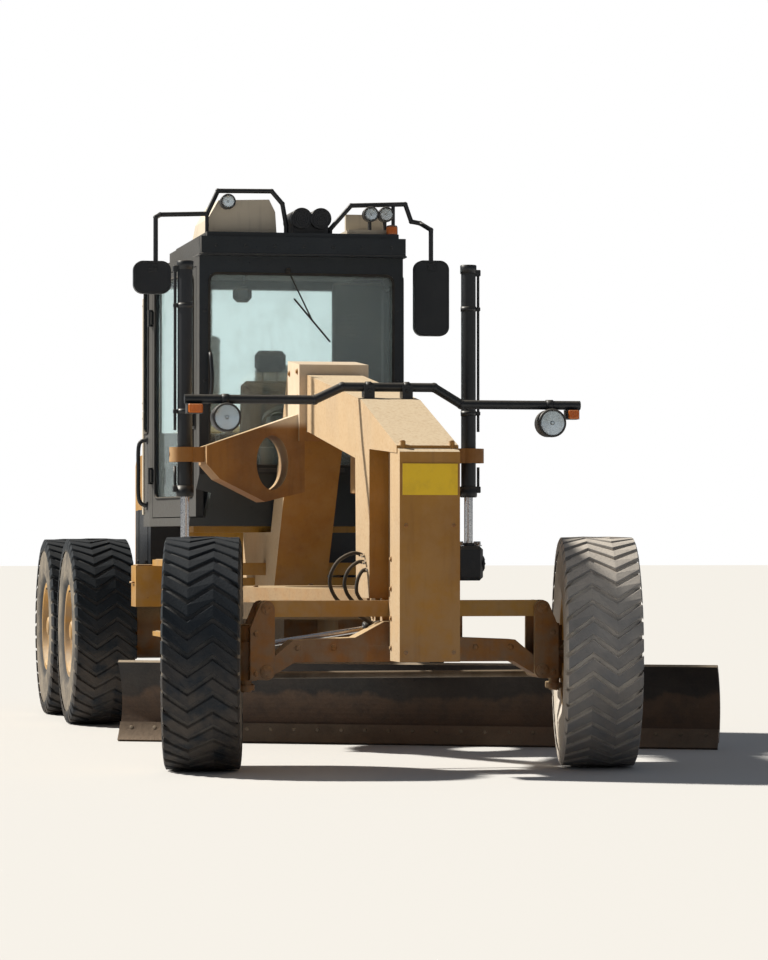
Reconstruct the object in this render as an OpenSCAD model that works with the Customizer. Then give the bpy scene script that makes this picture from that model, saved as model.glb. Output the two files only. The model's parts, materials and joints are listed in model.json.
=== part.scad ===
// Articulated motor grader, full size, in mm. Front towards -Y, Z up.

/* [Wheels] */
// Tyre radius out to the tips of the lugs
tyre_r = 645; // [600:5:700]
// Tyre width
tyre_w = 425; // [370:5:450]
// Height of the lugs
lug_h = 20; // [14:2:28]
// Zigzag lugs round each tyre
lugs = 20; // [16:1:22]
// Radius of the rim where the tyre sits
rim_r = 305; // [290:5:330]
// Distance between the middles of the left and right rear tyres
track = 2140; // [2100:10:2240]
// The same for the front tyres, pointing straight ahead
front_track = 2220; // [2160:10:2280]
// Angle at which the front wheels rest, turned to the machine's right
steer_rest = 10; // [0:1:20]

/* [Layout] */
// Front axle to the middle of the tandem
wheelbase = 6120; // [6000:20:6300]
// Distance between the two rear wheels of a side
tandem_gap = 1522; // [1460:10:1600]
// Front axle to the hitch pin
hitch_y = 4700; // [4660:10:4720]
// Width of the front frame's beam
beam_w = 340; // [280:10:380]
// Height of the light bar
light_bar_z = 2190; // [2150:10:2230]

/* [Cab] */
// Cab width
cab_w = 1690; // [1640:10:1740]
// Cab width at the windscreen
cab_front_w = 1330; // [1280:10:1400]
// Height of the roof's top
roof_z = 3300; // [3200:10:3400]
// Thickness of the cab's walls and doors
wall = 50; // [40:5:60]
// Thickness of the glass
glass_t = 8; // [6:1:12]

/* [Blade] */
// Length of the blade
blade_len = 3830; // [3600:10:3900]
// Height of the blade
blade_h = 500; // [470:10:520]
// Angle of the blade from straight across
blade_yaw = 26; // [10:1:40]
// How far the blade is shifted to the left of the machine
blade_shift = 490; // [300:10:560]
// Radius of the circle
circle_r = 700; // [660:10:710]
// Teeth inside the circle
circle_teeth = 48; // [36:2:60]

/* [Cylinders] */
// Radius of the lift cylinders' barrels
lift_r = 46; // [40:2:54]
// Radius of the lift cylinders' rods
lift_rod_r = 27; // [22:1:32]
// Distance from the middle to each lift cylinder
lift_x = 890; // [870:5:910]

/* [Hidden] */
$fn = 48;
play = 6;
seat_gap = 0.2;
pin_gap = 0.1;
row_x = -435;
row_y = -3647;
ground_z = 55;
wheel_x = track / 2;
front_wheel_x = front_track / 2;
axle_z = tyre_r + ground_z;
rear_y1 = wheelbase - tandem_gap / 2;
rear_y2 = wheelbase + tandem_gap / 2;
tyre_in = wheel_x - tyre_w / 2;
king_x = front_wheel_x - tyre_w / 2 - 25;
lean_x = king_x - 95;
axle_pin_z = 790;
lean_z = axle_z - 100;
lean_bar_z = axle_z + 245;
lean_base = [330, 200, 900];
lean_eye = [-lean_x + 20, 200, lean_z + 140];
tie_y = 250;
tie_dx = tie_y * sin(steer_rest);
tie_dy = tie_y * (cos(steer_rest) - 1);
arm_z = axle_z - 190;
tie_z = arm_z + 60;
tie_ball_r = 26;
cab_y0 = 3200;
cab_y1 = 4560;
cab_z0 = 1420;
sill_z = 1750;
roof_t = 150;
cab_x = cab_w / 2;
cab_fx = cab_front_w / 2;
bend_y = 4250;
door_a = atan((cab_x - cab_fx) / (bend_y - cab_y0));
door_y0 = -(bend_y - cab_y0) / cos(door_a) + 70;
door_y1 = -70;
door_z0 = 1480;
door_z1 = roof_z - roof_t - 70;
window_z1 = roof_z - 270;
hood_y0 = 5020;
hood_y1 = 7900;
hood_x = 470;
hood_z0 = 1130;
hood_z1 = 2120;
hood_z2 = 1960;
hdoor_y0 = 5930;
hdoor_y1 = 7500;
hdoor_z0 = 1370;
hdoor_z1 = 1850;
ball_y = 330;
ball_z = 910;
circle_y = 2300;
circle_z = 850;
circle_h = 100;
saddle_y = 2270;
ring_z = 1850;
stud_z = 1180;
drop_z = circle_z - 60;
rack_y = 3300;
mirror_y = rack_y - 90;
blade_y = 2570;
blade_z = ground_z + 245;
tip_y = 2740;
tip_z = blade_z + 40;
blade_curve_r = 420;
blade_t = 22;
rail_back = 62;
shift_z = blade_z + 100;
shift_y = 2640;
shift_r = 36;
shift_rod_r = 22;
shift_lug = 900;

// Moves a piece drawn from below the middle of the front axle into the row's
// frame; the drawing's level 0 lies ground_z below the ground
module in_row() {
  translate([row_x, row_y, -ground_z]) children();
}

// A box given by two corners
module span(a, b) {
  translate(a) cube(b - a);
}

// A round bar along X, Y or Z from a point
module bar_x(p, r, len) {
  translate(p) rotate([0, 90, 0]) cylinder(r = r, h = len);
}
module bar_y(p, r, len) {
  translate(p) rotate([-90, 0, 0]) cylinder(r = r, h = len);
}
module bar_z(p, r, len) {
  translate(p) cylinder(r = r, h = len);
}

// A round bar between two points
module rod(a, b, r) {
  d = b - a;
  len = norm(d);
  translate(a) rotate([0, acos(d[2] / len), atan2(d[1], d[0])])
    cylinder(r = r, h = len);
}

// A plate with a side-view outline (y, z), centred on x
module side_plate(points, x, width) {
  translate([x - width / 2, 0, 0]) rotate([90, 0, 90])
    linear_extrude(height = width) polygon(points);
}

module mirror_x() {
  children();
  mirror([1, 0, 0]) children();
}

// A pipe through a list of points, with a ball a little wider than the pipe
// at each bend
module pipe(points, r) {
  for (i = [0 : len(points) - 2]) rod(points[i], points[i + 1], r);
  if (len(points) > 2) for (i = [1 : len(points) - 2])
    translate(points[i]) sphere(r = 1.1 * r, $fn = 24);
}

// A point on the way from a to b
function along(a, b, share) = a + (b - a) * share;

// Door hinge: the pin with its two brackets, and the eye that turns on it
hinge_r = 9;
module hinge_pin(p, len, dir) {
  bar_z(p, hinge_r, len);
  for (z = [p[2], p[2] + len - 12]) {
    bar_z([p[0], p[1], z], hinge_r + 7, 12);
    translate([p[0] + min(0, dir[0]), p[1] + min(0, dir[1]), z])
      cube([abs(dir[0]), abs(dir[1]), 12]);
  }
}
module hinge_eye(p, len, dir) {
  translate([0, 0, p[2] + 13]) linear_extrude(height = len - 26) difference() {
    union() {
      translate([p[0], p[1]]) circle(r = hinge_r + 7);
      translate([p[0] + min(0, dir[0]), p[1] + (dir[1] > 0 ? 0 : dir[1] - 4)])
        square([max(8, abs(dir[0])), max(8, abs(dir[1]))]);
    }
    translate([p[0], p[1]]) circle(r = hinge_r + pin_gap);
  }
}

// Wheels, drawn round the Y-Z origin with the outer face towards +X
lug_run = 2 * PI * tyre_r / lugs;

module tyre_body() {
  hw = tyre_w / 2;
  base = tyre_r - lug_h;
  rotate([0, 90, 0]) rotate_extrude($fn = 36) polygon([
    [rim_r, -hw + 45], [rim_r + 90, -hw], [base - 70, -hw + 6],
    [base, -hw + 50], [base, hw - 50], [base - 70, hw - 6],
    [rim_r + 90, hw], [rim_r, hw - 45]]);
}

// Zigzag lug right across the tread
module lug() {
  hw = tyre_w / 2 - 8;
  root = tyre_r - lug_h - 18;
  sweep = 0.24 * lug_run;
  w = 0.17 * lug_run;
  translate([0, 0, root]) linear_extrude(height = tyre_r - root - 2)
    polygon([[-hw, -sweep - w], [-hw / 3, sweep - w], [hw / 3, -sweep - w],
      [hw, sweep - w], [hw, sweep + w], [hw / 3, -sweep + w],
      [-hw / 3, sweep + w], [-hw, -sweep + w]]);
}

module tyre() {
  tyre_body();
  for (i = [0 : lugs - 1]) rotate([i * 360 / lugs, 0, 0]) lug();
}

// Rim with a dished disc near the outer face, open towards the axle
module rim() {
  hw = tyre_w / 2;
  rotate([0, 90, 0]) rotate_extrude($fn = 48) polygon([
    [rim_r, -hw + 45], [rim_r, hw - 45], [rim_r + 14, hw - 37],
    [rim_r + 14, hw - 26], [rim_r - 18, hw - 26], [rim_r - 40, hw - 60],
    [190, hw - 90], [120, hw - 110], [120, hw - 60], [0, hw - 60],
    [0, hw - 75], [60 + pin_gap, hw - 75], [60 + pin_gap, hw - 150],
    [140, hw - 150], [200, hw - 120], [rim_r - 30, hw - 100],
    [rim_r - 22, hw - 120], [rim_r - 22, -hw + 26], [rim_r + 14, -hw + 26],
    [rim_r + 14, -hw + 37]]);
}

module wheel_at(x, y) {
  translate([x, y, axle_z]) scale([sign(x), 1, 1]) children();
}

// Turns a piece about a front wheel's kingpin to the angle at rest
module steered(side) {
  translate([side * king_x, 0, 0]) rotate([0, 0, -steer_rest])
    translate([-side * king_x, 0, 0]) children();
}

// Rear body
module rear_frame() {
  color("#c08a1e") in_row() {
    mirror_x() span([300, 4980, 830], [400, 7900, 1130]);
    span([-300, 5150, 880], [300, 5250, 1100]);
    span([-300, 7300, 880], [300, 7400, 1100]);
    span([-400, 4960, 830], [400, 5040, 1130]);
    for (z = [830, 1060]) {
      bar_z([0, hitch_y, z], 105, 70);
      span([-105, hitch_y, z], [105, 5000, z + 70]);
    }
    bar_z([0, hitch_y, 826], 60 - pin_gap, 330);
    span([-860, 7900, 760], [860, 8060, 1130]);
    mirror_x() span([620, 7700, 960], [860, 7900, 1130]);
    mirror_x() span([400, 7740, 960], [620, 7860, 1060]);
  }
}

module rear_axle() {
  color("#b8861f") in_row() {
    case_in = tyre_in - 250;
    bar_x([-case_in - 5, wheelbase, axle_z], 125, 2 * case_in + 10);
    mirror_x() {
      translate([case_in, 0, axle_z]) rotate([90, 0, 90])
        linear_extrude(height = 200) union() {
          translate([rear_y1, 0]) circle(r = 190);
          translate([rear_y2, 0]) circle(r = 190);
          polygon([[rear_y1, -190], [rear_y2, -190], [rear_y2, 190],
            [wheelbase, 240], [rear_y1, 190]]);
        }
      for (y = [rear_y1, rear_y2]) {
        bar_x([case_in + 200, y, axle_z], 110, 150);
        bar_x([case_in + 349, y, axle_z], 60, wheel_x + tyre_w / 2 - 76 - case_in - 349);
      }
      span([300, wheelbase - 140, 700], [400, wheelbase + 140, 830 - seat_gap]);
    }
  }
}

module engine_block() {
  color("#55575a") in_row()
    span([-330, 5500, 1130], [330, 7400, 1760]);
}

module hood() {
  w = 40;
  color("#cf9a26") in_row() difference() {
    side_plate([[hood_y0, hood_z0], [hood_y1, hood_z0], [hood_y1, hood_z2 - 60],
      [hood_y1 - 60, hood_z2], [hood_y0 + 40, hood_z1],
      [hood_y0, hood_z1 - 40]], 0, 2 * hood_x);
    side_plate([[hood_y0 + w, hood_z0 - 1], [hood_y1 + 1, hood_z0 - 1],
      [hood_y1 + 1, hood_z2 - 120], [hood_y1 - 100, hood_z2 - w],
      [hood_y0 + w, hood_z1 - w - 4]], 0, 2 * (hood_x - w));
    span([-hood_x - 1, hdoor_y0 - play, hdoor_z0 - play],
      [hood_x + 1, hdoor_y1 + play, hdoor_z1 + play]);
    bar_z([-260, 5720, 1900], 58 + seat_gap, 400);
    bar_z([240, 5620, 1900], 60 + seat_gap, 400);
  }
  color("#cf9a26") in_row() {
    mirror_x() for (z = [hdoor_z0 + 50, hdoor_z1 - 160])
      hinge_pin([hood_x + 20, hdoor_y0 - 3, z], 110, [-22, -34]);
    for (z = [1300, 1620])
      hinge_pin([hood_x + 20, hood_y1 + 14, z], 110, [-22, -44]);
  }
}

// Side door of the hood with louvres pressed outwards
module hood_door(side) {
  w = 40;
  scale([side, 1, 1]) {
    span([hood_x - w, hdoor_y0, hdoor_z0], [hood_x, hdoor_y1, hdoor_z1]);
    for (i = [0 : 6])
      translate([hood_x - 4, hdoor_y1 - 180, hdoor_z0 + 70 + 52 * i])
        rotate([90, 0, 0]) linear_extrude(height = 620)
          polygon([[0, 0], [20, 0], [20, 8], [0, 30]]);
    span([hood_x - 1, hdoor_y1 - 110, 1540], [hood_x + 18, hdoor_y1 - 70, 1660]);
    for (z = [hdoor_z0 + 50, hdoor_z1 - 160])
      hinge_eye([hood_x + 20, hdoor_y0 - 3, z], 110, [-24, 24]);
  }
}
module hood_door_left() {
  color("#cf9a26") in_row() hood_door(1);
}
module hood_door_right() {
  color("#cf9a26") in_row() hood_door(-1);
}

module rear_grille() {
  gx = hood_x - 10;
  gz0 = 1160;
  gz1 = hood_z2 - 80;
  color("#2b2c2e") in_row() {
    difference() {
      span([-gx, hood_y1 + play, gz0], [gx, hood_y1 + 60, gz1]);
      span([-gx + 60, hood_y1, gz0 + 60], [gx - 60, hood_y1 + 70, gz1 - 60]);
    }
    for (i = [0 : 10])
      span([-gx + 59, hood_y1 + 20, gz0 + 75 + 52 * i],
        [gx - 59, hood_y1 + 44, gz0 + 100 + 52 * i]);
    span([-15, hood_y1 + 12, gz0 + 59], [15, hood_y1 + 30, gz1 - 59]);
    for (z = [1300, 1620])
      hinge_eye([hood_x + 20, hood_y1 + 14, z], 110, [-36, 8]);
  }
}

module exhaust_stack() {
  color("#3a3a3c") in_row() {
    bar_z([-260, 5720, 1760], 58, 440);
    bar_z([-260, 5720, 2200], 110, 560);
    difference() {
      bar_z([-260, 5720, 2759], 55, 500);
      bar_z([-260, 5720, 2800], 47, 500);
    }
    bar_z([240, 5620, 2060], 60, 260);
    bar_z([240, 5620, 2319], 150, 200);
  }
}

module fuel_tank() {
  color("#26272a") in_row() mirror_x() {
    span([hood_x + seat_gap, 5060, 1140], [730, 5860, 1540]);
    bar_z([620, 5200, 1539], 45, 50);
  }
}

module rear_rim_left_front() {
  color("#c8942a") in_row() wheel_at(wheel_x, rear_y1) rim();
}
module rear_tyre_left_front() {
  color("#1d1e20") in_row() wheel_at(wheel_x, rear_y1) tyre();
}
module rear_rim_left_back() {
  color("#c8942a") in_row() wheel_at(wheel_x, rear_y2) rim();
}
module rear_tyre_left_back() {
  color("#1d1e20") in_row() wheel_at(wheel_x, rear_y2) tyre();
}
module rear_rim_right_front() {
  color("#c8942a") in_row() wheel_at(-wheel_x, rear_y1) rim();
}
module rear_tyre_right_front() {
  color("#1d1e20") in_row() wheel_at(-wheel_x, rear_y1) tyre();
}
module rear_rim_right_back() {
  color("#c8942a") in_row() wheel_at(-wheel_x, rear_y2) rim();
}
module rear_tyre_right_back() {
  color("#1d1e20") in_row() wheel_at(-wheel_x, rear_y2) tyre();
}

// Front frame
beam = [[60, 1000], [450, 1000], [480, 1790], [2000, 1985],
  [2560, 1990], [2660, 1950], [3225, 1075], [3320, 930], [4520, 930],
  [4520, 1380], [3390, 1380], [2760, 2370], [2660, 2400],
  [2000, 2330], [300, 2115], [-700, 1830], [-700, 1790], [60, 1830]];
module main_frame() {
  color("#d9a73c") in_row() {
    side_plate(beam, 0, beam_w);
    difference() {
      union() {
        span([-130, 4500, 900 + seat_gap], [130, hitch_y, 1060 - seat_gap]);
        bar_z([0, hitch_y, 900 + seat_gap], 120, 160 - 2 * seat_gap);
      }
      bar_z([0, hitch_y, 890], 60, 180);
    }
    // lugs and pin for the axle, ears and pin for the drawbar
    span([-90, -155, 735], [90, -95, 1010]);
    span([-90, 95, 735], [90, 155, 1010]);
    bar_y([0, -165, axle_pin_z], 45, 320);
    mirror_x() span([65, ball_y - 60, 850], [95, ball_y + 60, 1001]);
    bar_x([-105, ball_y, ball_z], 30, 210);
    // nose box, its web and its blank plate
    span([-165, -760, 670], [165, -500, 1795]);
    side_plate([[-501, 760], [-160, 760], [-160, 1000], [61, 1000], [61, 1820],
      [-501, 1820]], 0, 120);
    side_plate([[-760, 1795], [-500, 1795], [-500, 1880]], 0, 330);
    span([-152, -766, 1562], [152, -759, 1732]);
    mirror_x() bar_z([135, -690, 1790], 16, 60);
  }
}

module lift_saddle() {
  arm = [[2080, 1600], [2440, 1600], [2440, 2060], [2080, 2060]];
  color("#c98f22") in_row() {
    difference() {
      side_plate([[2060, 1930], [2480, 1960], [2480, 2440], [2060, 2400]], 0,
        beam_w + 90);
      side_plate(beam, 0, beam_w + 2 * seat_gap);
    }
    mirror_x() {
      difference() {
        translate([0, 2440, 0]) rotate([90, 0, 0])
          linear_extrude(height = 340) polygon([[beam_w / 2 + 5, 1620],
            [420, 1560], [700, 1700], [780, 1790], [780, 1900],
            [beam_w / 2 + 5, 2110]]);
        translate([375, 2450, 1800]) rotate([90, 0, 0])
          scale([1, 1.7, 1]) cylinder(r = 98, h = 360);
      }
      difference() {
        union() {
          translate([lift_x, saddle_y, ring_z - 45]) cylinder(r = 96, h = 90);
          span([760, 2180, ring_z - 45], [850, 2360, ring_z + 45]);
        }
        bar_z([lift_x, saddle_y, ring_z - 60], 66, 120);
        bar_x([lift_x - 140, saddle_y, ring_z], 17 + pin_gap, 280);
      }
    }
  }
}

// Cab
module cab_plan() {
  polygon([[cab_fx, cab_y0], [cab_x, bend_y], [cab_x, cab_y1], [-cab_x, cab_y1],
    [-cab_x, bend_y], [-cab_fx, cab_y0]]);
}

// Draws on the left door's plane: outer face at x = 0, its back edge at y = 0
module door_frame() {
  translate([cab_x, bend_y, 0]) rotate([0, 0, -door_a]) children();
}

module cab_frame() {
  gap = play;
  top = roof_z - roof_t;
  color("#1c1e22") in_row() {
    difference() {
      intersection() {
        linear_extrude(height = top) cab_plan();
        side_plate([[cab_y0, sill_z], [3420, cab_z0], [cab_y1, cab_z0],
          [cab_y1, top], [cab_y0, top]], 0, cab_w);
      }
      intersection() {
        linear_extrude(height = top) offset(delta = -wall) cab_plan();
        side_plate([[cab_y0 + wall, sill_z + 15], [3446, cab_z0 + wall],
          [cab_y1 - wall, cab_z0 + wall], [cab_y1 - wall, top - 40],
          [cab_y0 + wall, top - 40]], 0, cab_w);
      }
      // windscreen and back window
      span([-cab_fx + 70, cab_y0 - 1, sill_z + 60],
        [cab_fx - 70, cab_y0 + wall + 1, window_z1]);
      span([-cab_x + 90, cab_y1 - wall - 1, 2050],
        [cab_x - 90, cab_y1 + 1, window_z1]);
      // door spaces and the windows behind them
      mirror_x() door_frame() span([-2 * wall, door_y0 - gap, door_z0 - gap],
        [wall, door_y1 + gap, door_z1 + gap]);
      span([-cab_x - 1, bend_y + 50, 2050], [cab_x + 1, cab_y1 - 60, window_z1]);
    }
    mirror_x() door_frame() for (z = [1700, 2750])
      hinge_pin([20, door_y1 + 3, z], 110, [-22, 34]);
  }
}

module cab_roof() {
  top = roof_z - roof_t;
  x = cab_fx;
  color("#232426") in_row() {
    span([-x, cab_y0 - 90, top], [x, cab_y1 + 30, roof_z - 30]);
    span([-x + 40, cab_y0 - 60, roof_z - 31], [x - 40, cab_y1, roof_z]);
  }
}

// Housings on the roof, pale with dust
module roof_panels() {
  z = roof_z + seat_gap;
  color("#d2c49a") in_row() {
    translate([0, 3900, 0]) rotate([90, 0, 0]) linear_extrude(height = 560)
      polygon([[-610, z], [-590, 3400], [-520, 3520], [-190, 3530],
        [-150, 3450], [-140, z]]);
    span([312, 3240, z], [600, 3640, 3335]);
    span([330, 3420, 3334], [600, 3460, 3450]);
  }
}

module cab_glass() {
  mid = wall / 2;
  color("#9fb4bd") in_row() {
    span([-cab_fx + 70, cab_y0 + mid, sill_z + 60],
      [cab_fx - 70, cab_y0 + mid + glass_t, window_z1]);
    span([-cab_x + 90, cab_y1 - mid - glass_t, 2050],
      [cab_x - 90, cab_y1 - mid, window_z1]);
    mirror_x() span([cab_x - mid - glass_t, bend_y + 50, 2050],
      [cab_x - mid, cab_y1 - 60, window_z1]);
  }
}

// Cab door, hinged at its back edge, with its window and handle
module cab_door(side) {
  color("#1c1e22") in_row() scale([side, 1, 1]) door_frame() {
    difference() {
      span([-wall, door_y0, door_z0], [0, door_y1, door_z1]);
      span([-wall - 1, door_y0 + 60, door_z0 + 130],
        [1, door_y1 - 60, window_z1]);
    }
    span([-1, door_y0 + 15, 2060], [22, door_y0 + 45, 2200]);
    for (z = [1700, 2750])
      hinge_eye([20, door_y1 + 3, z], 110, [-24, -24]);
  }
}
module cab_door_glass(side) {
  mid = wall / 2;
  color("#9fb4bd") in_row() scale([side, 1, 1]) door_frame()
    span([-mid - glass_t, door_y0 + 60, door_z0 + 130],
      [-mid, door_y1 - 60, window_z1]);
}
module cab_door_left() {
  cab_door(1);
}
module cab_door_right() {
  cab_door(-1);
}
module cab_door_left_glass() {
  cab_door_glass(1);
}
module cab_door_right_glass() {
  cab_door_glass(-1);
}

module seat() {
  color("#2a2b2f") in_row() {
    span([-200, 3960, cab_z0 + wall], [200, 4340, cab_z0 + 260]);
    span([-250, 3900, cab_z0 + 259], [250, 4400, cab_z0 + 400]);
    side_plate([[4290, 1810], [4400, 1810], [4480, 2450], [4390, 2470]], 0, 480);
    side_plate([[4400, 2465], [4482, 2445], [4490, 2640], [4420, 2640]], 0, 260);
    mirror_x() span([249, 3980, 1990], [310, 4330, 2040]);
    mirror_x() span([249, 4270, 1800], [290, 4330, 2041]);
  }
}

module controls() {
  color("#303236") in_row() {
    mirror_x() {
      span([330, 3760, cab_z0 + wall], [450, 3960, 2020]);
      bar_z([390, 3820, 2019], 24, 130);
    }
    span([-90, 3480, cab_z0 + wall], [90, 3560, 2060]);
    span([-170, 3400, 2059], [170, 3570, 2130]);
    translate([0, 3600, 2110]) rotate([-25, 0, 0]) difference() {
      cylinder(r = 190, h = 26);
      translate([0, 0, -1]) cylinder(r = 160, h = 28);
    }
    translate([0, 3600, 2110]) rotate([-25, 0, 0]) {
      span([-170, -14, 4], [170, 14, 22]);
      translate([0, 0, -60]) cylinder(r = 30, h = 82);
    }
  }
}

// Rails, lamps, mirrors, steps
rail_r = 26;
module lamp_rails() {
  y = 400;
  z = light_bar_z;
  r = 15;
  roof = roof_z + seat_gap;
  color("#17181a") in_row() {
    // light bar over the beam
    pipe([[-1160, y, z - 75], [-420, y, z - 75], [-260, y, z], [270, y, z],
      [430, y, z - 95], [1125, y, z - 95]], rail_r);
    difference() {
      mirror_x() span([80, y - 40, 2090], [140, y + 40, z + 10]);
      side_plate(beam, 0, beam_w + 2 * seat_gap);
    }
    // right rack, and the pipe that carries the right mirror
    pipe([[-946, mirror_y, 3110], [-946, mirror_y, 3390],
      [-905, rack_y, 3416], [-602, rack_y, 3427], [-531, rack_y, 3576],
      [-180, rack_y, 3580], [-110, rack_y, 3500], [-85, rack_y, roof + 60],
      [-85, rack_y, roof]], r);
    pipe([[-602, rack_y, roof], [-602, rack_y, 3424]], r - 3);
    // left rack
    pipe([[203, rack_y, roof], [203, rack_y, roof + 40], [342, rack_y, 3497],
      [700, rack_y, 3512], [740, rack_y, 3400], [798, rack_y, 3390], [852, mirror_y, 3340],
      [852, mirror_y, 3140]], r);
    pipe([[620, rack_y, roof], [620, rack_y, 3506]], r - 3);
    // fan housing between the racks
    span([-50, 3240, roof_z + seat_gap], [180, 3560, 3400]);
    for (x = [0, 125]) bar_y([x, 3200, 3400], 66, 330);
  }
}

module lamps() {
  head_r = 78;
  left_z = light_bar_z - 95 - rail_r - seat_gap;
  right_z = light_bar_z - 75 - rail_r - seat_gap;
  color("#d8d8d0") in_row() {
    bar_y([-930, 330, right_z - head_r], head_r, 110);
    bar_y([945, 330, left_z - head_r], head_r, 110);
    span([-1150, 350, right_z - 55], [-1060, 440, right_z]);
    span([1040, 350, left_z - 55], [1110, 440, left_z]);
    // roof lamps and a beacon
    for (x = [457, 557]) {
      bar_y([x, 3215, 3436], 47, 70);
      bar_z([x, 3262, 3335 + seat_gap], 12, 60);
    }
    bar_y([-479, 3203, 3500], 46, 70);
    bar_y([-479, 3272, 3500], 14, 68 - seat_gap);
    bar_z([590, 3190, roof_z + seat_gap], 34, 60);
  }
}

// Mirror housing, centred on x and z, hanging on the pipe's end
module mirror_head(x, z, width, height, round_r) {
  translate([x, mirror_y + 27, z]) rotate([90, 0, 0]) linear_extrude(height = 55)
    offset(r = round_r) square([width - 2 * round_r, height - 2 * round_r],
      center = true);
}
module mirrors() {
  color("#1b1c1f") in_row() {
    mirror_head(852, 3140 - seat_gap - 245, 230, 490, 60);
    mirror_head(-970, 3110 - seat_gap - 105, 240, 210, 60);
  }
}

module cab_steps() {
  side = beam_w / 2 + seat_gap;
  step_y = 3480;
  color("#c99627") in_row() mirror_x() {
    span([side, 4020, 1000], [740, 4100, 1080]);
    span([730, 3990, 890], [970, 4230, 1160]);
    span([side, step_y + 100, 1100], [760, step_y + 180, 1180]);
    span([740, step_y, 1160], [860, 3989, 1200]);
    span([740, step_y, 700], [770, step_y + 30, 1161]);
    span([740, 3950, 700], [770, 3980, 1161]);
    span([740, step_y, 700], [860, 3980, 730]);
    span([40, 3900, 1380 + seat_gap], [600, 4400, cab_z0 - seat_gap]);
  }
}

// Front axle
lug_z = 64.3;
module front_axle() {
  half = [[lean_x, lean_z - 45], [lean_x, lean_z + 45],
    [lean_x - 150, axle_z + 70], [280, axle_z + 85], [110, 872]];
  other = [for (i = [4 : -1 : 0]) [-half[i][0], half[i][1]]];
  color("#c98f22") in_row() {
    difference() {
      union() {
        translate([0, 90, 0]) rotate([90, 0, 0]) linear_extrude(height = 180)
          polygon(concat(half, other, [[-lean_x + 160, axle_z - 50],
            [lean_x - 160, axle_z - 50]]));
        mirror_x() bar_y([lean_x, -90, lean_z], 45, 180);
      }
      mirror_x() bar_y([lean_x, -100, lean_z], 28 + pin_gap, 200);
      bar_y([0, -100, axle_pin_z], 45 + pin_gap, 200);
    }
    // bracket and pin for the lean cylinder
    span([300, 60, axle_z + 60], [360, 110, lean_base[2] + 30]);
    bar_y([lean_base[0], 109, lean_base[2]], 18, 134);
  }
}

module lean_carrier(side) {
  color("#8f6a1c") in_row() scale([side, 1, 1]) {
    difference() {
      union() {
        for (y = [-120, 92]) translate([0, y + 28, 0]) rotate([90, 0, 0])
          linear_extrude(height = 28) hull() {
            translate([lean_x, lean_z]) circle(r = 46, $fn = 32);
            translate([lean_x, lean_bar_z]) circle(r = 44, $fn = 32);
            translate([king_x - 44, axle_z - 140]) square([40, 280]);
          }
        for (z = [axle_z + lug_z, axle_z - lug_z - 85]) {
          bar_z([king_x, 0, z], 44, 85);
          span([king_x - 44, -93, z], [king_x - 4, 93, z + 85]);
        }
      }
      bar_z([king_x, 0, axle_z - 200], 30 + pin_gap, 400);
    }
    bar_y([lean_x, -122, lean_z], 28, 244);
    bar_y([lean_x, -122, lean_bar_z], 24, 244);
  }
}
module lean_carrier_left() {
  lean_carrier(1);
}
module lean_carrier_right() {
  lean_carrier(-1);
  color("#8f6a1c") in_row() bar_y([lean_eye[0], 119, lean_eye[2]], 20, 56);
}

module knuckle(side) {
  color("#7d5c19") in_row() steered(side) scale([side, 1, 1]) {
    bar_z([king_x, 0, arm_z - 14], 30, axle_z + 150 - arm_z + 14);
    bar_z([king_x, 0, axle_z - 64], 54, 128);
    bar_x([king_x + 10, 0, axle_z], 52, 130);
    bar_x([king_x + 139, 0, axle_z], 60,
      front_wheel_x + tyre_w / 2 - 76 - king_x - 139);
    translate([0, 0, arm_z - 14]) linear_extrude(height = 28) hull() {
      translate([king_x, 0]) circle(r = 46);
      translate([king_x, tie_y]) circle(r = 34);
    }
    bar_z([king_x, tie_y, arm_z], 14, 100);
  }
}
module knuckle_left() {
  knuckle(1);
}
module knuckle_right() {
  knuckle(-1);
}

module front_rim_left() {
  color("#c8942a") in_row() steered(1) wheel_at(front_wheel_x, 0) rim();
}
module front_tyre_left() {
  color("#1d1e20") in_row() steered(1) wheel_at(front_wheel_x, 0) tyre();
}
module front_rim_right() {
  color("#c8942a") in_row() steered(-1) wheel_at(-front_wheel_x, 0) rim();
}
module front_tyre_right() {
  color("#1d1e20") in_row() steered(-1) wheel_at(-front_wheel_x, 0) tyre();
}

module lean_bar() {
  color("#cf8a1c") in_row() difference() {
    union() {
      mirror_x() bar_y([lean_x, -90, lean_bar_z], 46, 60);
      span([-lean_x, -84, lean_bar_z - 45], [lean_x, -36, lean_bar_z + 45]);
    }
    mirror_x() bar_y([lean_x, -100, lean_bar_z], 24 + pin_gap, 80);
  }
}

// Moves the tie rod along with the knuckles' arms at rest
module tied() {
  translate([tie_dx, tie_y + tie_dy, 0]) children();
}
module tie_rod_end() {
  color("#3b3c3f") in_row() tied() difference() {
    translate([king_x, 0, tie_z]) sphere(r = tie_ball_r);
    bar_z([king_x, 0, arm_z], 14 + pin_gap, 120);
  }
}
module tie_rod() {
  color("#3b3c3f") in_row() tied() difference() {
    union() {
      bar_x([-king_x + 24, 0, tie_z], 20, 2 * king_x - 48);
      mirror_x() bar_z([king_x, 0, tie_z - 14], 40, 28);
      bar_y([king_x, -46, tie_z], 10, 92);
    }
    translate([king_x, 0, tie_z]) sphere(r = tie_ball_r + pin_gap);
    bar_z([-king_x, 0, tie_z - 60], tie_ball_r + 3, 120);
  }
}

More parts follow.
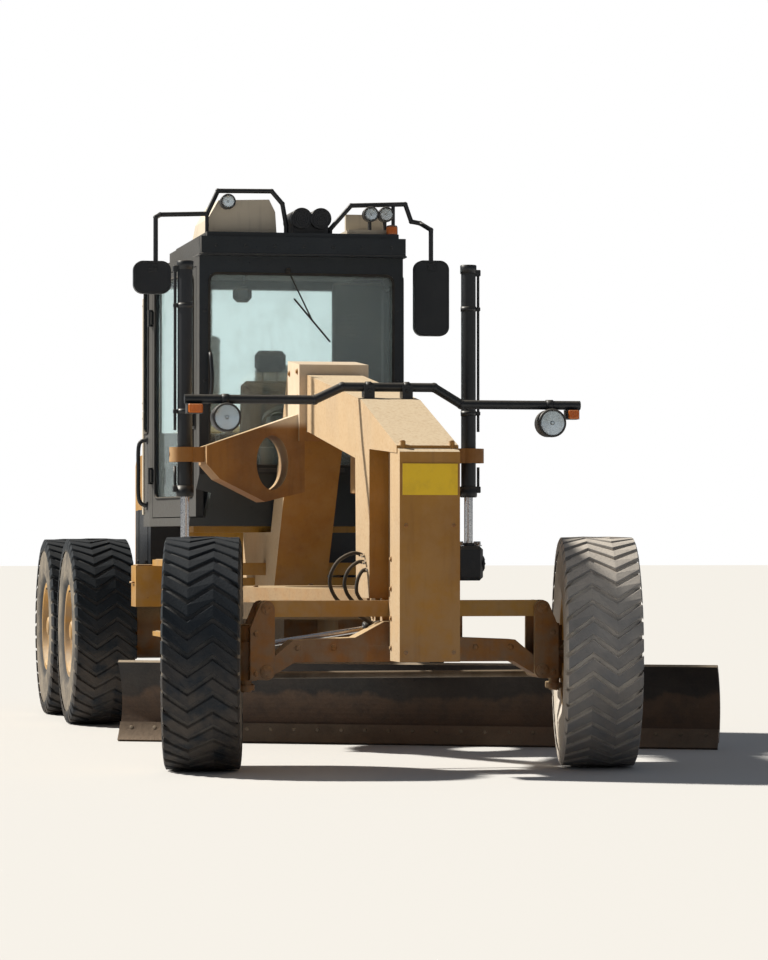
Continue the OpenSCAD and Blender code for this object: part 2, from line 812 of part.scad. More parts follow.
// Drawbar, circle and blade
module drawbar() {
  z0 = circle_z + circle_h + seat_gap;
  color("#c99627") in_row() {
    difference() {
      union() {
        bar_x([-60, ball_y, ball_z], 56, 120);
        side_plate([[ball_y, 870], [500, 870], [760, z0], [760, z0 + 90],
          [500, 950], [ball_y, 950]], 0, 110);
      }
      bar_x([-80, ball_y, ball_z], 30 + pin_gap, 160);
    }
    translate([0, 0, z0]) linear_extrude(height = 90) difference() {
      polygon([[-70, 640], [70, 640], [600, circle_y - 300],
        [600, circle_y + 300], [300, circle_y + 520], [-300, circle_y + 520],
        [-600, circle_y + 300], [-600, circle_y - 300]]);
      translate([0, circle_y]) circle(r = 260);
      polygon([[0, 900], [250, 1450], [-250, 1450]]);
    }
    mirror_x() {
      side_plate([[saddle_y - 70, z0 + 40], [saddle_y + 70, z0 + 40],
        [saddle_y + 70, z0 + 130], [saddle_y - 70, z0 + 130]], 670, 240);
      span([730, saddle_y - 60, z0 + 60], [790, saddle_y + 60, stud_z + 50]);
      bar_x([780, saddle_y, stud_z], 36, lift_x - 40 - seat_gap - 780);
    }
    translate([0, circle_y, circle_z + 20]) difference() {
      cylinder(r = 420, h = circle_h - 20 + 5);
      translate([0, 0, -1]) cylinder(r = 300, h = 200);
    }
  }
}

module circle_ring() {
  teeth_r = circle_r - 110;
  color("#6f5a35") in_row() {
    translate([0, circle_y, circle_z]) linear_extrude(height = circle_h)
      difference() {
        circle(r = circle_r, $fn = 72);
        circle(r = teeth_r, $fn = 72);
      }
    translate([0, circle_y, circle_z + 20])
      for (i = [0 : circle_teeth - 1]) rotate([0, 0, i * 360 / circle_teeth])
        translate([teeth_r - 30, -20, 0]) cube([40, 40, 60]);
    blade_frame() mirror_x() {
      side_plate([[2200, drop_z], [2900, drop_z], [2900, circle_z + 1],
        [2200, circle_z + 1]], 480, 60);
      side_plate([[2710, tip_z - 60], [2860, tip_z - 60], [2900, drop_z + 1],
        [2640, drop_z + 1]], 480, 60);
      bar_x([372, tip_y, tip_z], 26, 160);
    }
  }
}

// Turns what is drawn straight across into the blade's resting angle
module blade_frame() {
  translate([0, circle_y, 0]) rotate([0, 0, -blade_yaw])
    translate([0, -circle_y, 0]) children();
}

module blade_bracket() {
  back = blade_y + rail_back + seat_gap;
  color("#7a6234") in_row() blade_frame() {
    mirror_x() difference() {
      side_plate([[back, blade_z - 120], [2690, tip_z - 60],
        [tip_y + 50, tip_z - 50], [tip_y + 50, tip_z + 50], [2700, tip_z + 100],
        [back, blade_z + 190]], 400, 60);
      bar_x([300, tip_y, tip_z], 26 + pin_gap, 200);
      bar_x([300, shift_y, shift_z], shift_r + pin_gap, 200);
    }
    bar_x([-430, 2690, tip_z + 10], 22, 860);
  }
}

// Arc of the blade's section, between two angles from level
module arc_section(r0, r1, a0, a1) {
  n = 16;
  step = (a1 - a0) / n;
  translate([-blade_curve_r, 0]) polygon(concat(
    [for (i = [0 : n]) r0 * [cos(a0 + i * step), sin(a0 + i * step)]],
    [for (i = [0 : n]) r1 * [cos(a1 - i * step), sin(a1 - i * step)]]));
}

module across_blade(x, len) {
  translate([blade_shift + x, blade_y, blade_z]) rotate([90, 0, 90])
    linear_extrude(height = len) children();
}

edge_a = -asin((blade_z - ground_z) / blade_curve_r);
module moldboard() {
  r = blade_curve_r;
  color("#3a3028") in_row() blade_frame() {
    across_blade(-blade_len / 2, blade_len)
      arc_section(r, r + blade_t, edge_a + 8,
        asin((ground_z + blade_h - blade_z) / r));
    across_blade(-1500, 3000) polygon([[-16, 142], [rail_back, 142],
      [rail_back, 190], [-16, 190]]);
    across_blade(-1500, 3000) polygon([[5, -120], [rail_back, -120],
      [rail_back, -75], [5, -75]]);
    difference() {
      across_blade(shift_lug, 60) polygon([[10, 60], [120, 60], [120, 140], [10, 140]]);
      bar_x([blade_shift + shift_lug - 10, shift_y, shift_z], shift_rod_r + pin_gap, 80);
    }
  }
}

module cutting_edge() {
  r = blade_curve_r;
  color("#2e2622") in_row() blade_frame() across_blade(-blade_len / 2, blade_len)
    arc_section(r - 20, r - 0.6, edge_a, edge_a + 18);
}

module shift_cylinder() {
  color("#202124") in_row() blade_frame() difference() {
    bar_x([-880, shift_y, shift_z], shift_r, 1340);
    bar_x([-870, shift_y, shift_z], shift_rod_r + pin_gap, 1400);
  }
}
module shift_rod() {
  color("#b9bcc0") in_row() blade_frame()
    bar_x([250, shift_y, shift_z], shift_rod_r, blade_shift + shift_lug - 170);
}

// Lift cylinders
module lift_cylinder(side) {
  color("#17181a") in_row() scale([side, 1, 1]) difference() {
    union() {
      bar_z([lift_x, saddle_y, 1600], lift_r, 1440);
      bar_x([lift_x - 64, saddle_y, ring_z], 17, 128);
    }
    bar_z([lift_x, saddle_y, 1590], lift_rod_r + pin_gap, 1400);
  }
}
module lift_rod(side) {
  color("#b9bcc0") in_row() scale([side, 1, 1]) {
    bar_z([lift_x, saddle_y, 1240], lift_rod_r, 900);
    bar_x([lift_x - 40, saddle_y, stud_z], 62, 80);
  }
}
module lift_cylinder_left() {
  lift_cylinder(1);
}
module lift_cylinder_right() {
  lift_cylinder(-1);
}
module lift_rod_left() {
  lift_rod(1);
}
module lift_rod_right() {
  lift_rod(-1);
}

// Lean cylinder, between the axle and the right lean carrier
module lean_cylinder() {
  color("#202124") in_row() difference() {
    union() {
      rod(along(lean_base, lean_eye, 0.015), along(lean_base, lean_eye, 0.46), 34);
      bar_y(lean_base - [0, 37, 0], 40, 74);
    }
    rod(along(lean_base, lean_eye, 0.06), along(lean_base, lean_eye, 0.6),
      17 + pin_gap);
    bar_y(lean_base - [0, 60, 0], 18 + pin_gap, 120);
  }
}
module lean_rod() {
  color("#b9bcc0") in_row() {
    rod(along(lean_base, lean_eye, 0.34), lean_eye, 17);
    bar_y(lean_eye - [0, 25 - seat_gap, 0], 30, 50);
  }
}

rear_frame();
rear_axle();
engine_block();
hood();
hood_door_left();
hood_door_right();
rear_grille();
exhaust_stack();
fuel_tank();
rear_rim_left_front();
rear_tyre_left_front();
rear_rim_left_back();
rear_tyre_left_back();
rear_rim_right_front();
rear_tyre_right_front();
rear_rim_right_back();
rear_tyre_right_back();
main_frame();
lift_saddle();
cab_frame();
cab_roof();
roof_panels();
cab_glass();
cab_door_left();
cab_door_left_glass();
cab_door_right();
cab_door_right_glass();
seat();
controls();
lamp_rails();
lamps();
mirrors();
cab_steps();
front_axle();
lean_carrier_left();
lean_carrier_right();
knuckle_left();
knuckle_right();
front_rim_left();
front_tyre_left();
front_rim_right();
front_tyre_right();
lean_bar();
tie_rod_end();
tie_rod();
lean_cylinder();
lean_rod();
drawbar();
circle_ring();
blade_bracket();
moldboard();
cutting_edge();
shift_cylinder();
shift_rod();
lift_cylinder_left();
lift_rod_left();
lift_cylinder_right();
lift_rod_right();
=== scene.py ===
import json
from itertools import product
from math import atan, atan2, copysign, cos, hypot, pi, radians, sin, tan
import bpy
from mathutils import Vector, Matrix


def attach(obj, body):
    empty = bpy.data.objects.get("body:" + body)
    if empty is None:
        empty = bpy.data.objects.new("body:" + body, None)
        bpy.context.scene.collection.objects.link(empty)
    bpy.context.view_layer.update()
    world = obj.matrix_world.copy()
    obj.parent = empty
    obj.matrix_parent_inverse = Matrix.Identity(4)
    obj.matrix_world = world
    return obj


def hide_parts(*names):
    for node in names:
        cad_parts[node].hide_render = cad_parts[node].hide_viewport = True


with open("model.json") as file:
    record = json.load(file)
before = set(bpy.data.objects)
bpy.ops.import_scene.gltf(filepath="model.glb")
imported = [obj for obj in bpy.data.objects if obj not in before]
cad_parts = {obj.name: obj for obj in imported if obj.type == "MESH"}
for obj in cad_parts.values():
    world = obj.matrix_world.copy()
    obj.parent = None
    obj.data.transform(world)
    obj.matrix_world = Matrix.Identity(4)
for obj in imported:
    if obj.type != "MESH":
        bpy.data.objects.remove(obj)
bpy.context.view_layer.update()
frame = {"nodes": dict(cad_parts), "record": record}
nodes = frame["nodes"]

ROW_X, ROW_Y, GROUND_Z = -0.435, -3.647, 0.055
FRONT, REAR = "front_body", "rear_body"


def at(x, y, z):
    """A point measured as in part.scad, but in metres, in the row frame."""
    return Vector((x + ROW_X, y + ROW_Y, z - GROUND_Z))


X, Y, Z = Vector((1, 0, 0)), Vector((0, 1, 0)), Vector((0, 0, 1))

# Sizes of part.scad, in metres
TYRE_R, TYRE_W, LUGS, AXLE_Z, KING_X = 0.645, 0.425, 20, 0.7, 0.8725
STEER = radians(10)
LEAN_X, LEAN_Z, LEAN_BAR_Z = 0.7775, 0.6, 0.945
CAB_X, CAB_FX, CAB_Y0, CAB_Y1, BEND_Y = 0.845, 0.665, 3.2, 4.56, 4.25
CAB_Z0, CAB_TOP, ROOF_Z, WINDOW_Z1 = 1.42, 3.15, 3.3, 3.03
DOOR_A = atan((CAB_X - CAB_FX) / (BEND_Y - CAB_Y0))
DOOR_LEN = (BEND_Y - CAB_Y0) / cos(DOOR_A)
LIFT_X, LIFT_Y, STUD_Z = 0.89, 2.27, 1.18
MIRROR_Y = 3.237
FRONT_X, REAR_X, TANDEM_Y, REAR_AXLES = 1.11, 1.07, 6.12, (5.359, 6.881)
STACK_X, STACK_Y = -0.26, 5.72
INTAKE_X, INTAKE_Y = 0.24, 5.62
TANK_X = 0.6
BAR_Y, BAR_Z, BAR_R = 0.4, 2.19, 0.026
RIGHT_DROP, LEFT_DROP = 0.075, 0.095
STUD_ROWS = 14
CIRCLE_Y, BLADE_YAW = 2.3, radians(26)
BLADE_Y, BLADE_Z, CURVE_R, BLADE_LEN, BLADE_SHIFT = 2.57, 0.3, 0.42, 3.83, 0.49
HOOD_X, HOOD_Y0, HOOD_Y1, HOOD_Z1, HOOD_Z2 = 0.47, 5.02, 7.9, 2.12, 1.96
# the circle's turn at rest
CIRCLE_TURN = (Matrix.Translation((0, CIRCLE_Y, 0)) @ Matrix.Rotation(-BLADE_YAW, 4, "Z")
    @ Matrix.Translation((0, -CIRCLE_Y, 0)))


# ---------------------------------------------------------------- materials
def link(output, into):
    """Joins two sockets of shader nodes."""
    output.id_data.links.new(output, into)


def new_mat(name):
    """A new material with a plain shader: material, node tree, shader."""
    m = bpy.data.materials.new(name)
    m.use_nodes = True
    nt = m.node_tree
    nt.nodes.clear()
    out = nt.nodes.new("ShaderNodeOutputMaterial")
    bsdf = nt.nodes.new("ShaderNodeBsdfPrincipled")
    link(bsdf.outputs[0], out.inputs[0])
    return m, nt, bsdf


def node(nt, kind, **props):
    """A new shader node with its settings."""
    n = nt.nodes.new(kind)
    for k, v in props.items():
        setattr(n, k, v)
    return n


def put(n, **values):
    """Sets inputs of a shader node; _ stands for a space in their names."""
    for name, value in values.items():
        n.inputs[name.replace("_", " ")].default_value = value


def split(nt, socket):
    """X, Y and Z of a vector."""
    sep = node(nt, "ShaderNodeSeparateXYZ")
    link(socket, sep.inputs[0])
    return sep.outputs


def noise(nt, scale, detail=4.0, rough=0.55, stretch=None):
    """Noise in the object's own frame, stretched by scales along X, Y and Z if given."""
    tc = node(nt, "ShaderNodeTexCoord")
    n = node(nt, "ShaderNodeTexNoise")
    put(n, Scale=scale, Detail=detail, Roughness=rough)
    src = tc.outputs["Object"]
    if stretch:
        mp = node(nt, "ShaderNodeMapping")
        put(mp, Scale=stretch)
        link(src, mp.inputs["Vector"])
        src = mp.outputs[0]
    link(src, n.inputs["Vector"])
    return n.outputs[0]


def ramp(nt, src, lo, hi, a=0.0, b=1.0):
    """Eases from a to b while src goes from lo to hi."""
    m = node(nt, "ShaderNodeMapRange")
    put(m, From_Min=lo, From_Max=hi, To_Min=a, To_Max=b)
    m.interpolation_type = "SMOOTHSTEP"
    link(src, m.inputs["Value"])
    return m.outputs[0]


def calc(nt, op, a, b=None):
    """A math node; sums and products are clamped to 0..1."""
    m = node(nt, "ShaderNodeMath", operation=op)
    m.use_clamp = op in ("ADD", "MULTIPLY", "SUBTRACT")
    for i, v in enumerate((a, b)):
        if v is None:
            continue
        if isinstance(v, (int, float)):
            m.inputs[i].default_value = v
        else:
            link(v, m.inputs[i])
    return m.outputs[0]


def times(nt, a, b):
    """A product, clamped to 0..1."""
    return calc(nt, "MULTIPLY", a, b)


def calc_free(nt, op, a, b):
    """calc() with no clamp."""
    out = calc(nt, op, a, b)
    out.node.use_clamp = False
    return out


def mix(nt, fac, a, b):
    """A colour between a and b."""
    m = node(nt, "ShaderNodeMix", data_type="RGBA")
    if isinstance(fac, (int, float)):
        m.inputs[0].default_value = fac
    else:
        link(fac, m.inputs[0])
    for i, v in ((6, a), (7, b)):
        if isinstance(v, tuple):
            m.inputs[i].default_value = (*v, 1.0)
        else:
            link(v, m.inputs[i])
    return m.outputs[2]


def surface(name, base, deep, rough=0.45, metal=0.0, dust=0.5, dust_and_sunlit_rgb=(0.56, 0.46, 0.32),
        grime=0.4, chips=0.0, chip_rgb=(0.05, 0.035, 0.03), bump=0.15, grain=60.0, streak=0.25,
        coat=0.0, patch=1.4, low=1.5, side=0.0, haze=0.15):
    """Weathered finish: patches of two tones, streaks, dust on top and grime low down, a thin haze
    of dust all over, chips; side also paints sunlight in the dust colour on faces towards -X."""
    m, nt, bsdf = new_mat(name)
    geo = node(nt, "ShaderNodeNewGeometry").outputs
    normal, place = split(nt, geo["Normal"]), split(nt, geo["Position"])
    big = noise(nt, patch, 6.0)
    mid = noise(nt, 9.0, 5.0)
    fine = noise(nt, grain, 4.0, 0.6)
    run = noise(nt, 1.0, 4.0, 0.6, stretch=(26.0, 26.0, 2.2))
    col = mix(nt, ramp(nt, big, 0.38, 0.66), base, deep)
    if streak:
        s = times(nt, ramp(nt, run, 0.5, 0.75), streak)
        col = mix(nt, s, col, tuple(c * 0.45 for c in deep))
    if grime:
        g = times(nt, ramp(nt, place[2], low, 0.25), ramp(nt, mid, 0.3, 0.62))
        g = times(nt, g, grime)
        col = mix(nt, g, col, (0.16, 0.12, 0.085))
    up = ramp(nt, normal[2], 0.15, 0.95)
    # painted sunlight: by the share side, faces towards -X, where the sun stands, take the pale
    # dust colour too
    if side:
        up = calc(nt, "ADD", up, ramp(nt, normal[0], -0.5, -0.95, 0.0, side))
    thin = times(nt, ramp(nt, mid, 0.35, 0.7), haze)
    d = calc(nt, "ADD", times(nt, up, ramp(nt, fine, 0.2, 0.6, 0.55, 1.0)), thin)
    d = times(nt, d, dust)
    col = mix(nt, d, col, dust_and_sunlit_rgb)
    if chips:
        c = noise(nt, 24.0, 8.0, 0.7)
        c = times(nt, ramp(nt, c, 0.66, 0.69), ramp(nt, big, 0.45, 0.6))
        c = times(nt, c, chips)
        col = mix(nt, c, col, chip_rgb)
    link(col, bsdf.inputs["Base Color"])
    r = calc(nt, "ADD", ramp(nt, fine, 0.2, 0.8, rough - 0.08, rough + 0.12), times(nt, d, 0.45))
    link(r, bsdf.inputs["Roughness"])
    put(bsdf, Metallic=metal)
    if coat:
        put(bsdf, Coat_Weight=coat, Coat_Roughness=0.12)
    bp = node(nt, "ShaderNodeBump")
    put(bp, Strength=bump, Distance=0.004)
    link(calc(nt, "ADD", fine, times(nt, mid, 0.6)), bp.inputs["Height"])
    link(bp.outputs[0], bsdf.inputs["Normal"])
    return m


def glassy(name, tint, rough=0.04, alpha_dust=0.25):
    """Tinted window glass with dust and smears."""
    m, nt, bsdf = new_mat(name)
    d = ramp(nt, noise(nt, 3.0, 6.0, 0.6), 0.45, 0.75)
    sm = ramp(nt, noise(nt, 1.0, 4.0, 0.6, stretch=(14.0, 14.0, 3.0)), 0.5, 0.75, 0.0, 0.5)
    d = times(nt, calc(nt, "ADD", d, sm), alpha_dust)
    link(mix(nt, d, tint, (0.5, 0.45, 0.36)), bsdf.inputs["Base Color"])
    link(calc(nt, "ADD", times(nt, d, 0.6), rough), bsdf.inputs["Roughness"])
    link(calc(nt, "SUBTRACT", 1.0, calc(nt, "ADD", d, 0.06)), bsdf.inputs["Transmission Weight"])
    put(bsdf, IOR=1.45)
    return m


M = {}
# side=0.15 paints a little sunlight on the faces towards -X, the sun's side
M["yellow"] = surface("yellow enamel", (0.46, 0.23, 0.022), (0.34, 0.16, 0.016), rough=0.45,
    dust=0.5, dust_and_sunlit_rgb=(0.62, 0.5, 0.34), chips=0.5, side=0.15, haze=0.25)
# side=0.6 paints sunlight in cream on the beam's faces towards -X, the sun's side
M["beam"] = surface("dusty yellow enamel with painted sunlit side", (0.34, 0.155, 0.016), (0.26, 0.11, 0.012), rough=0.5,
    dust=0.8, dust_and_sunlit_rgb=(0.74, 0.62, 0.44), chips=0.5, side=0.6, haze=0.05)
M["rim"] = surface("rim enamel", (0.5, 0.27, 0.05), (0.38, 0.19, 0.035), rough=0.5, dust=0.6,
    dust_and_sunlit_rgb=(0.6, 0.49, 0.33), grime=0.7, chips=0.4)
M["black"] = surface("black enamel", (0.006, 0.009, 0.013), (0.011, 0.014, 0.02), rough=0.4,
    dust=0.3, dust_and_sunlit_rgb=(0.3, 0.26, 0.2), grime=0.1, chips=0.1, haze=0.04,
    chip_rgb=(0.2, 0.17, 0.14))
# side=0.45 paints sunlight in pale dust colour on the cab's faces towards -X, the sun's side
M["cab"] = surface("cab enamel", (0.004, 0.008, 0.012), (0.007, 0.013, 0.02), rough=0.34, dust=0.4,
    dust_and_sunlit_rgb=(0.42, 0.38, 0.32), grime=0.1, side=0.45, haze=0.02)
M["roof"] = surface("roof paint", (0.6, 0.53, 0.42), (0.52, 0.45, 0.35), rough=0.6, dust=0.7,
    dust_and_sunlit_rgb=(0.75, 0.68, 0.56))
M["engine"] = surface("engine casting", (0.07, 0.07, 0.07), (0.11, 0.1, 0.09), rough=0.75, bump=0.5,
    dust=0.3)
M["exhaust"] = surface("stack steel", (0.13, 0.1, 0.08), (0.24, 0.13, 0.07), rough=0.55, metal=0.7,
    dust=0.2, streak=0.5, bump=0.3)
M["cast"] = surface("dark casting", (0.07, 0.055, 0.04), (0.11, 0.075, 0.04), rough=0.65, dust=0.45,
    dust_and_sunlit_rgb=(0.42, 0.33, 0.22), bump=0.4, grime=0.6)
# side=0.5 paints sunlight on the faces towards -X, the sun's side
M["ochre"] = surface("old yellow on castings", (0.3, 0.12, 0.016), (0.17, 0.065, 0.012), rough=0.6,
    side=0.5, haze=0.06, dust=0.75, dust_and_sunlit_rgb=(0.6, 0.46, 0.27), grime=0.8, chips=0.8, bump=0.3)
M["chrome"] = surface("chrome", (0.72, 0.73, 0.75), (0.6, 0.61, 0.63), rough=0.12, metal=1.0,
    dust=0.12, grime=0.15, streak=0.1, bump=0.03, grain=120.0)
M["blade"] = surface("blade steel", (0.012, 0.011, 0.012), (0.03, 0.022, 0.018), rough=0.5,
    metal=0.3, dust=0.8, dust_and_sunlit_rgb=(0.55, 0.45, 0.33), grime=0.0, bump=0.4, streak=0.3, haze=0.02)
M["edge"] = surface("edge steel", (0.1, 0.075, 0.055), (0.17, 0.12, 0.085), rough=0.45, metal=0.6,
    dust=0.35, dust_and_sunlit_rgb=(0.33, 0.24, 0.16), grime=0.5, bump=0.3)
M["circle"] = surface("circle steel", (0.2, 0.13, 0.06), (0.1, 0.07, 0.045), rough=0.6, metal=0.3,
    dust=0.6, dust_and_sunlit_rgb=(0.5, 0.37, 0.21), bump=0.35, chips=0.6)
M["seat"] = surface("seat cloth", (0.02, 0.021, 0.026), (0.035, 0.035, 0.042), rough=0.9, dust=0.25,
    grime=0.0, bump=0.5, grain=260.0, streak=0.0)
M["plastic"] = surface("cab plastic", (0.028, 0.029, 0.032), (0.045, 0.045, 0.048), rough=0.65,
    dust=0.3, grime=0.0, bump=0.3, grain=300.0, streak=0.0)
M["lamp"] = surface("lamp shell", (0.02, 0.02, 0.022), (0.035, 0.035, 0.036), rough=0.5, dust=0.3,
    dust_and_sunlit_rgb=(0.4, 0.36, 0.3))
M["glass"] = glassy("window glass", (0.84, 0.95, 0.94), alpha_dust=0.05)
M["lens"] = glassy("lamp lens", (0.9, 0.9, 0.86), rough=0.12, alpha_dust=0.35)
M["rubber"] = surface("seal rubber", (0.012, 0.012, 0.013), (0.02, 0.02, 0.02), rough=0.8, dust=0.2,
    bump=0.3)
M["amber"] = surface("amber lens", (0.7, 0.17, 0.01), (0.55, 0.12, 0.01), rough=0.2, dust=0.3,
    dust_and_sunlit_rgb=(0.6, 0.45, 0.25), grime=0.2, bump=0.1, grain=200.0, coat=0.6)
M["red"] = surface("red lens", (0.4, 0.012, 0.01), (0.28, 0.01, 0.01), rough=0.2, dust=0.3,
    grime=0.2, bump=0.1, grain=200.0, coat=0.6)
M["reflector"] = surface("reflector", (0.4, 0.46, 0.52), (0.3, 0.36, 0.42), rough=0.16, metal=1.0,
    dust=0.12, grime=0.0, streak=0.0, bump=0.05, grain=150.0)
M["mirror"] = surface("mirror glass", (0.82, 0.84, 0.85), (0.74, 0.76, 0.77), rough=0.05, metal=1.0,
    dust=0.1, grime=0.0, streak=0.1, bump=0.01)
M["liner"] = surface("headliner", (0.09, 0.09, 0.088), (0.12, 0.12, 0.115), rough=0.9, dust=0.1,
    grime=0.0, streak=0.0, bump=0.4, grain=240.0)


def repaint(m):
    """What is needed to paint over a finish: its node tree, its shader, its colour so far
    and the place in the row frame."""
    nt = m.node_tree
    bsdf = next(n for n in nt.nodes if n.type == "BSDF_PRINCIPLED")
    plain = bsdf.inputs["Base Color"].links[0].from_socket
    return nt, bsdf, plain, split(nt, node(nt, "ShaderNodeTexCoord").outputs["Object"])


def rubber_tread(name, base, deep, dirt_and_sunlit_rgb, dust, pale_rgb, side):
    """Rubber with soil packed between the lugs, worn clean on their tops, pale dust on
    the flanks, and sunlight painted by side in the soil colour on faces towards -X."""
    m = surface(name, base, deep, rough=0.78, dust=dust, dust_and_sunlit_rgb=dirt_and_sunlit_rgb, grime=0.3, bump=0.5,
        grain=90.0, streak=0.1, low=0.9, side=side)
    nt, bsdf, plain, _ = repaint(m)
    worn = node(nt, "ShaderNodeAttribute", attribute_name="lug_height")
    low = ramp(nt, worn.outputs["Fac"], 0.75, 0.1)
    patch = ramp(nt, noise(nt, 7.0, 6.0, 0.65), 0.36, 0.6, 0.25, 0.9)
    low = times(nt, times(nt, low, patch), 0.55)
    flank = node(nt, "ShaderNodeAttribute", attribute_name="flank")
    pale = times(nt, flank.outputs["Fac"], ramp(nt, noise(nt, 6.0, 8.0, 0.65), 0.3, 0.65, 0.15,
        0.9))
    col = mix(nt, pale, mix(nt, low, plain, dirt_and_sunlit_rgb), pale_rgb)
    link(col, bsdf.inputs["Base Color"])
    put(bsdf, Specular_IOR_Level=0.3)
    return m


# side=0.1 paints a thin sunlit edge on the faces towards -X, the sun's side
M["tyre"] = rubber_tread("tyre rubber", (0.007, 0.012, 0.018), (0.012, 0.018, 0.026),
    (0.09, 0.085, 0.08), 0.15, (0.24, 0.205, 0.16), 0.1)
# side=0.9 paints strong sunlight on the faces towards -X: the cream shoulder on the sun's side
M["dusty_tyre"] = rubber_tread("dusty tyre rubber", (0.22, 0.22, 0.225), (0.16, 0.16, 0.165),
    (0.58, 0.53, 0.47), 0.95, (0.44, 0.39, 0.32), 0.9)


def with_label(m, middle, width, height, rgb):
    """Paints a blank label on the front of a copy of a finish; middle is in the row frame."""
    m = m.copy()
    m.name = m.name + " with label"
    nt, bsdf, plain, place = repaint(m)
    inside = ramp(nt, place[1], middle.y + 0.0045, middle.y + 0.0035)
    for axis, size in ((0, width), (2, height)):
        off = calc(nt, "ABSOLUTE", calc_free(nt, "SUBTRACT", place[axis], middle[axis]))
        inside = times(nt, inside, ramp(nt, off, size / 2, size / 2 - 0.002))
    fade = ramp(nt, noise(nt, 14.0, 6.0, 0.6), 0.4, 0.7, 1.0, 0.8)
    inside = times(nt, inside, fade)
    link(mix(nt, inside, plain, rgb), bsdf.inputs["Base Color"])
    return m


def soiled_below(m, z, rgb):
    """A finish under soil up to a wavy line at height z, in the row frame."""
    nt, bsdf, plain, place = repaint(m)
    wave = ramp(nt, noise(nt, 2.5, 6.0, 0.6), 0.2, 0.8, -0.06, 0.06)
    below = ramp(nt, calc_free(nt, "ADD", place[2], wave), z + 0.02, z - 0.02)
    below = times(nt, below, ramp(nt, noise(nt, 11.0, 7.0, 0.65), 0.3, 0.6, 0.55, 0.95))
    link(mix(nt, below, plain, rgb), bsdf.inputs["Base Color"])


def parted(m, z, rgb, above, blur=0.002):
    """Paints a finish in another dull colour below a height in the row frame, or above it
    on what doesn't face +X, away from the sun, which makes the colour above partly painted
    sunlight."""
    nt, bsdf, plain, place = repaint(m)
    side = blur if above else -blur
    there = ramp(nt, place[2], z - side, z + side)
    # painted sunlight: above the height the colour goes only on faces that don't face +X, away from
    # the sun
    if above:
        normal = split(nt, node(nt, "ShaderNodeNewGeometry").outputs["Normal"])
        there = times(nt, there, ramp(nt, normal[0], 0.6, 0.2))
    metal = bsdf.inputs["Metallic"].default_value
    link(ramp(nt, there, 0.0, 1.0, metal, 0.0), bsdf.inputs["Metallic"])
    tone = ramp(nt, noise(nt, 9.0, 6.0, 0.6), 0.3, 0.7, 0.85, 1.0)
    link(mix(nt, times(nt, there, tone), plain, rgb), bsdf.inputs["Base Color"])
    return m


soiled_below(M["blade"], 0.31, (0.085, 0.05, 0.03))
M["lift_rod"] = parted(M["chrome"].copy(), 1.3 - GROUND_Z, (0.008, 0.011, 0.016), above=False)
# the saddle's upper part in pale dust colour, kept off faces towards +X away from the sun: dust and
# painted sunlight
M["saddle"] = parted(M["ochre"].copy(), 2.03 - GROUND_Z, (0.66, 0.54, 0.4), above=True, blur=0.03)
M["nose"] = with_label(M["beam"], at(0, -0.766, 1.647), 0.304, 0.17, (0.78, 0.5, 0.01))

SLOTS = {"yellow_paint": "yellow", "rim_paint": "rim", "tyre": "tyre", "cab_paint": "cab",
         "engine_grey": "engine", "black_paint": "black", "exhaust_steel": "exhaust",
         "roof_paint": "roof", "cab_glass": "glass", "seat_cloth": "seat",
         "control_plastic": "plastic", "lamp_body": "lamp", "mirror_plastic": "black",
         "dark_steel": "cast", "chrome": "chrome", "blade_steel": "blade",
         "edge_steel": "edge"}
# nodes whose finish isn't that of their slot
SPECIAL = {"front_axle": "ochre", "lean_carrier_left": "ochre", "lean_carrier_right": "ochre",
           "knuckle_left": "ochre", "knuckle_right": "ochre", "drawbar": "ochre",
           "rear_axle": "ochre",
           "circle_ring": "circle", "blade_bracket": "circle", "lift_saddle": "saddle",
           "lift_rod_left": "lift_rod", "lift_rod_right": "lift_rod", "main_frame": "nose"}
for sub in frame["record"]["subparts"]:
    finish = SPECIAL.get(sub["node"], SLOTS[sub["material_slot"]])
    materials = nodes[sub["node"]].data.materials
    materials.clear()
    materials.append(M[finish])


# ---------------------------------------------------------------- mesh helpers
def add_obj(name, verts, faces, mat, body):
    """A mesh object that rides on a body."""
    me = bpy.data.meshes.new(name)
    me.from_pydata([tuple(v) for v in verts], [], faces)
    me.update()
    o = bpy.data.objects.new(name.replace(" ", "_"), me)
    bpy.context.collection.objects.link(o)
    me.materials.append(M[mat])
    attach(o, body)
    return o


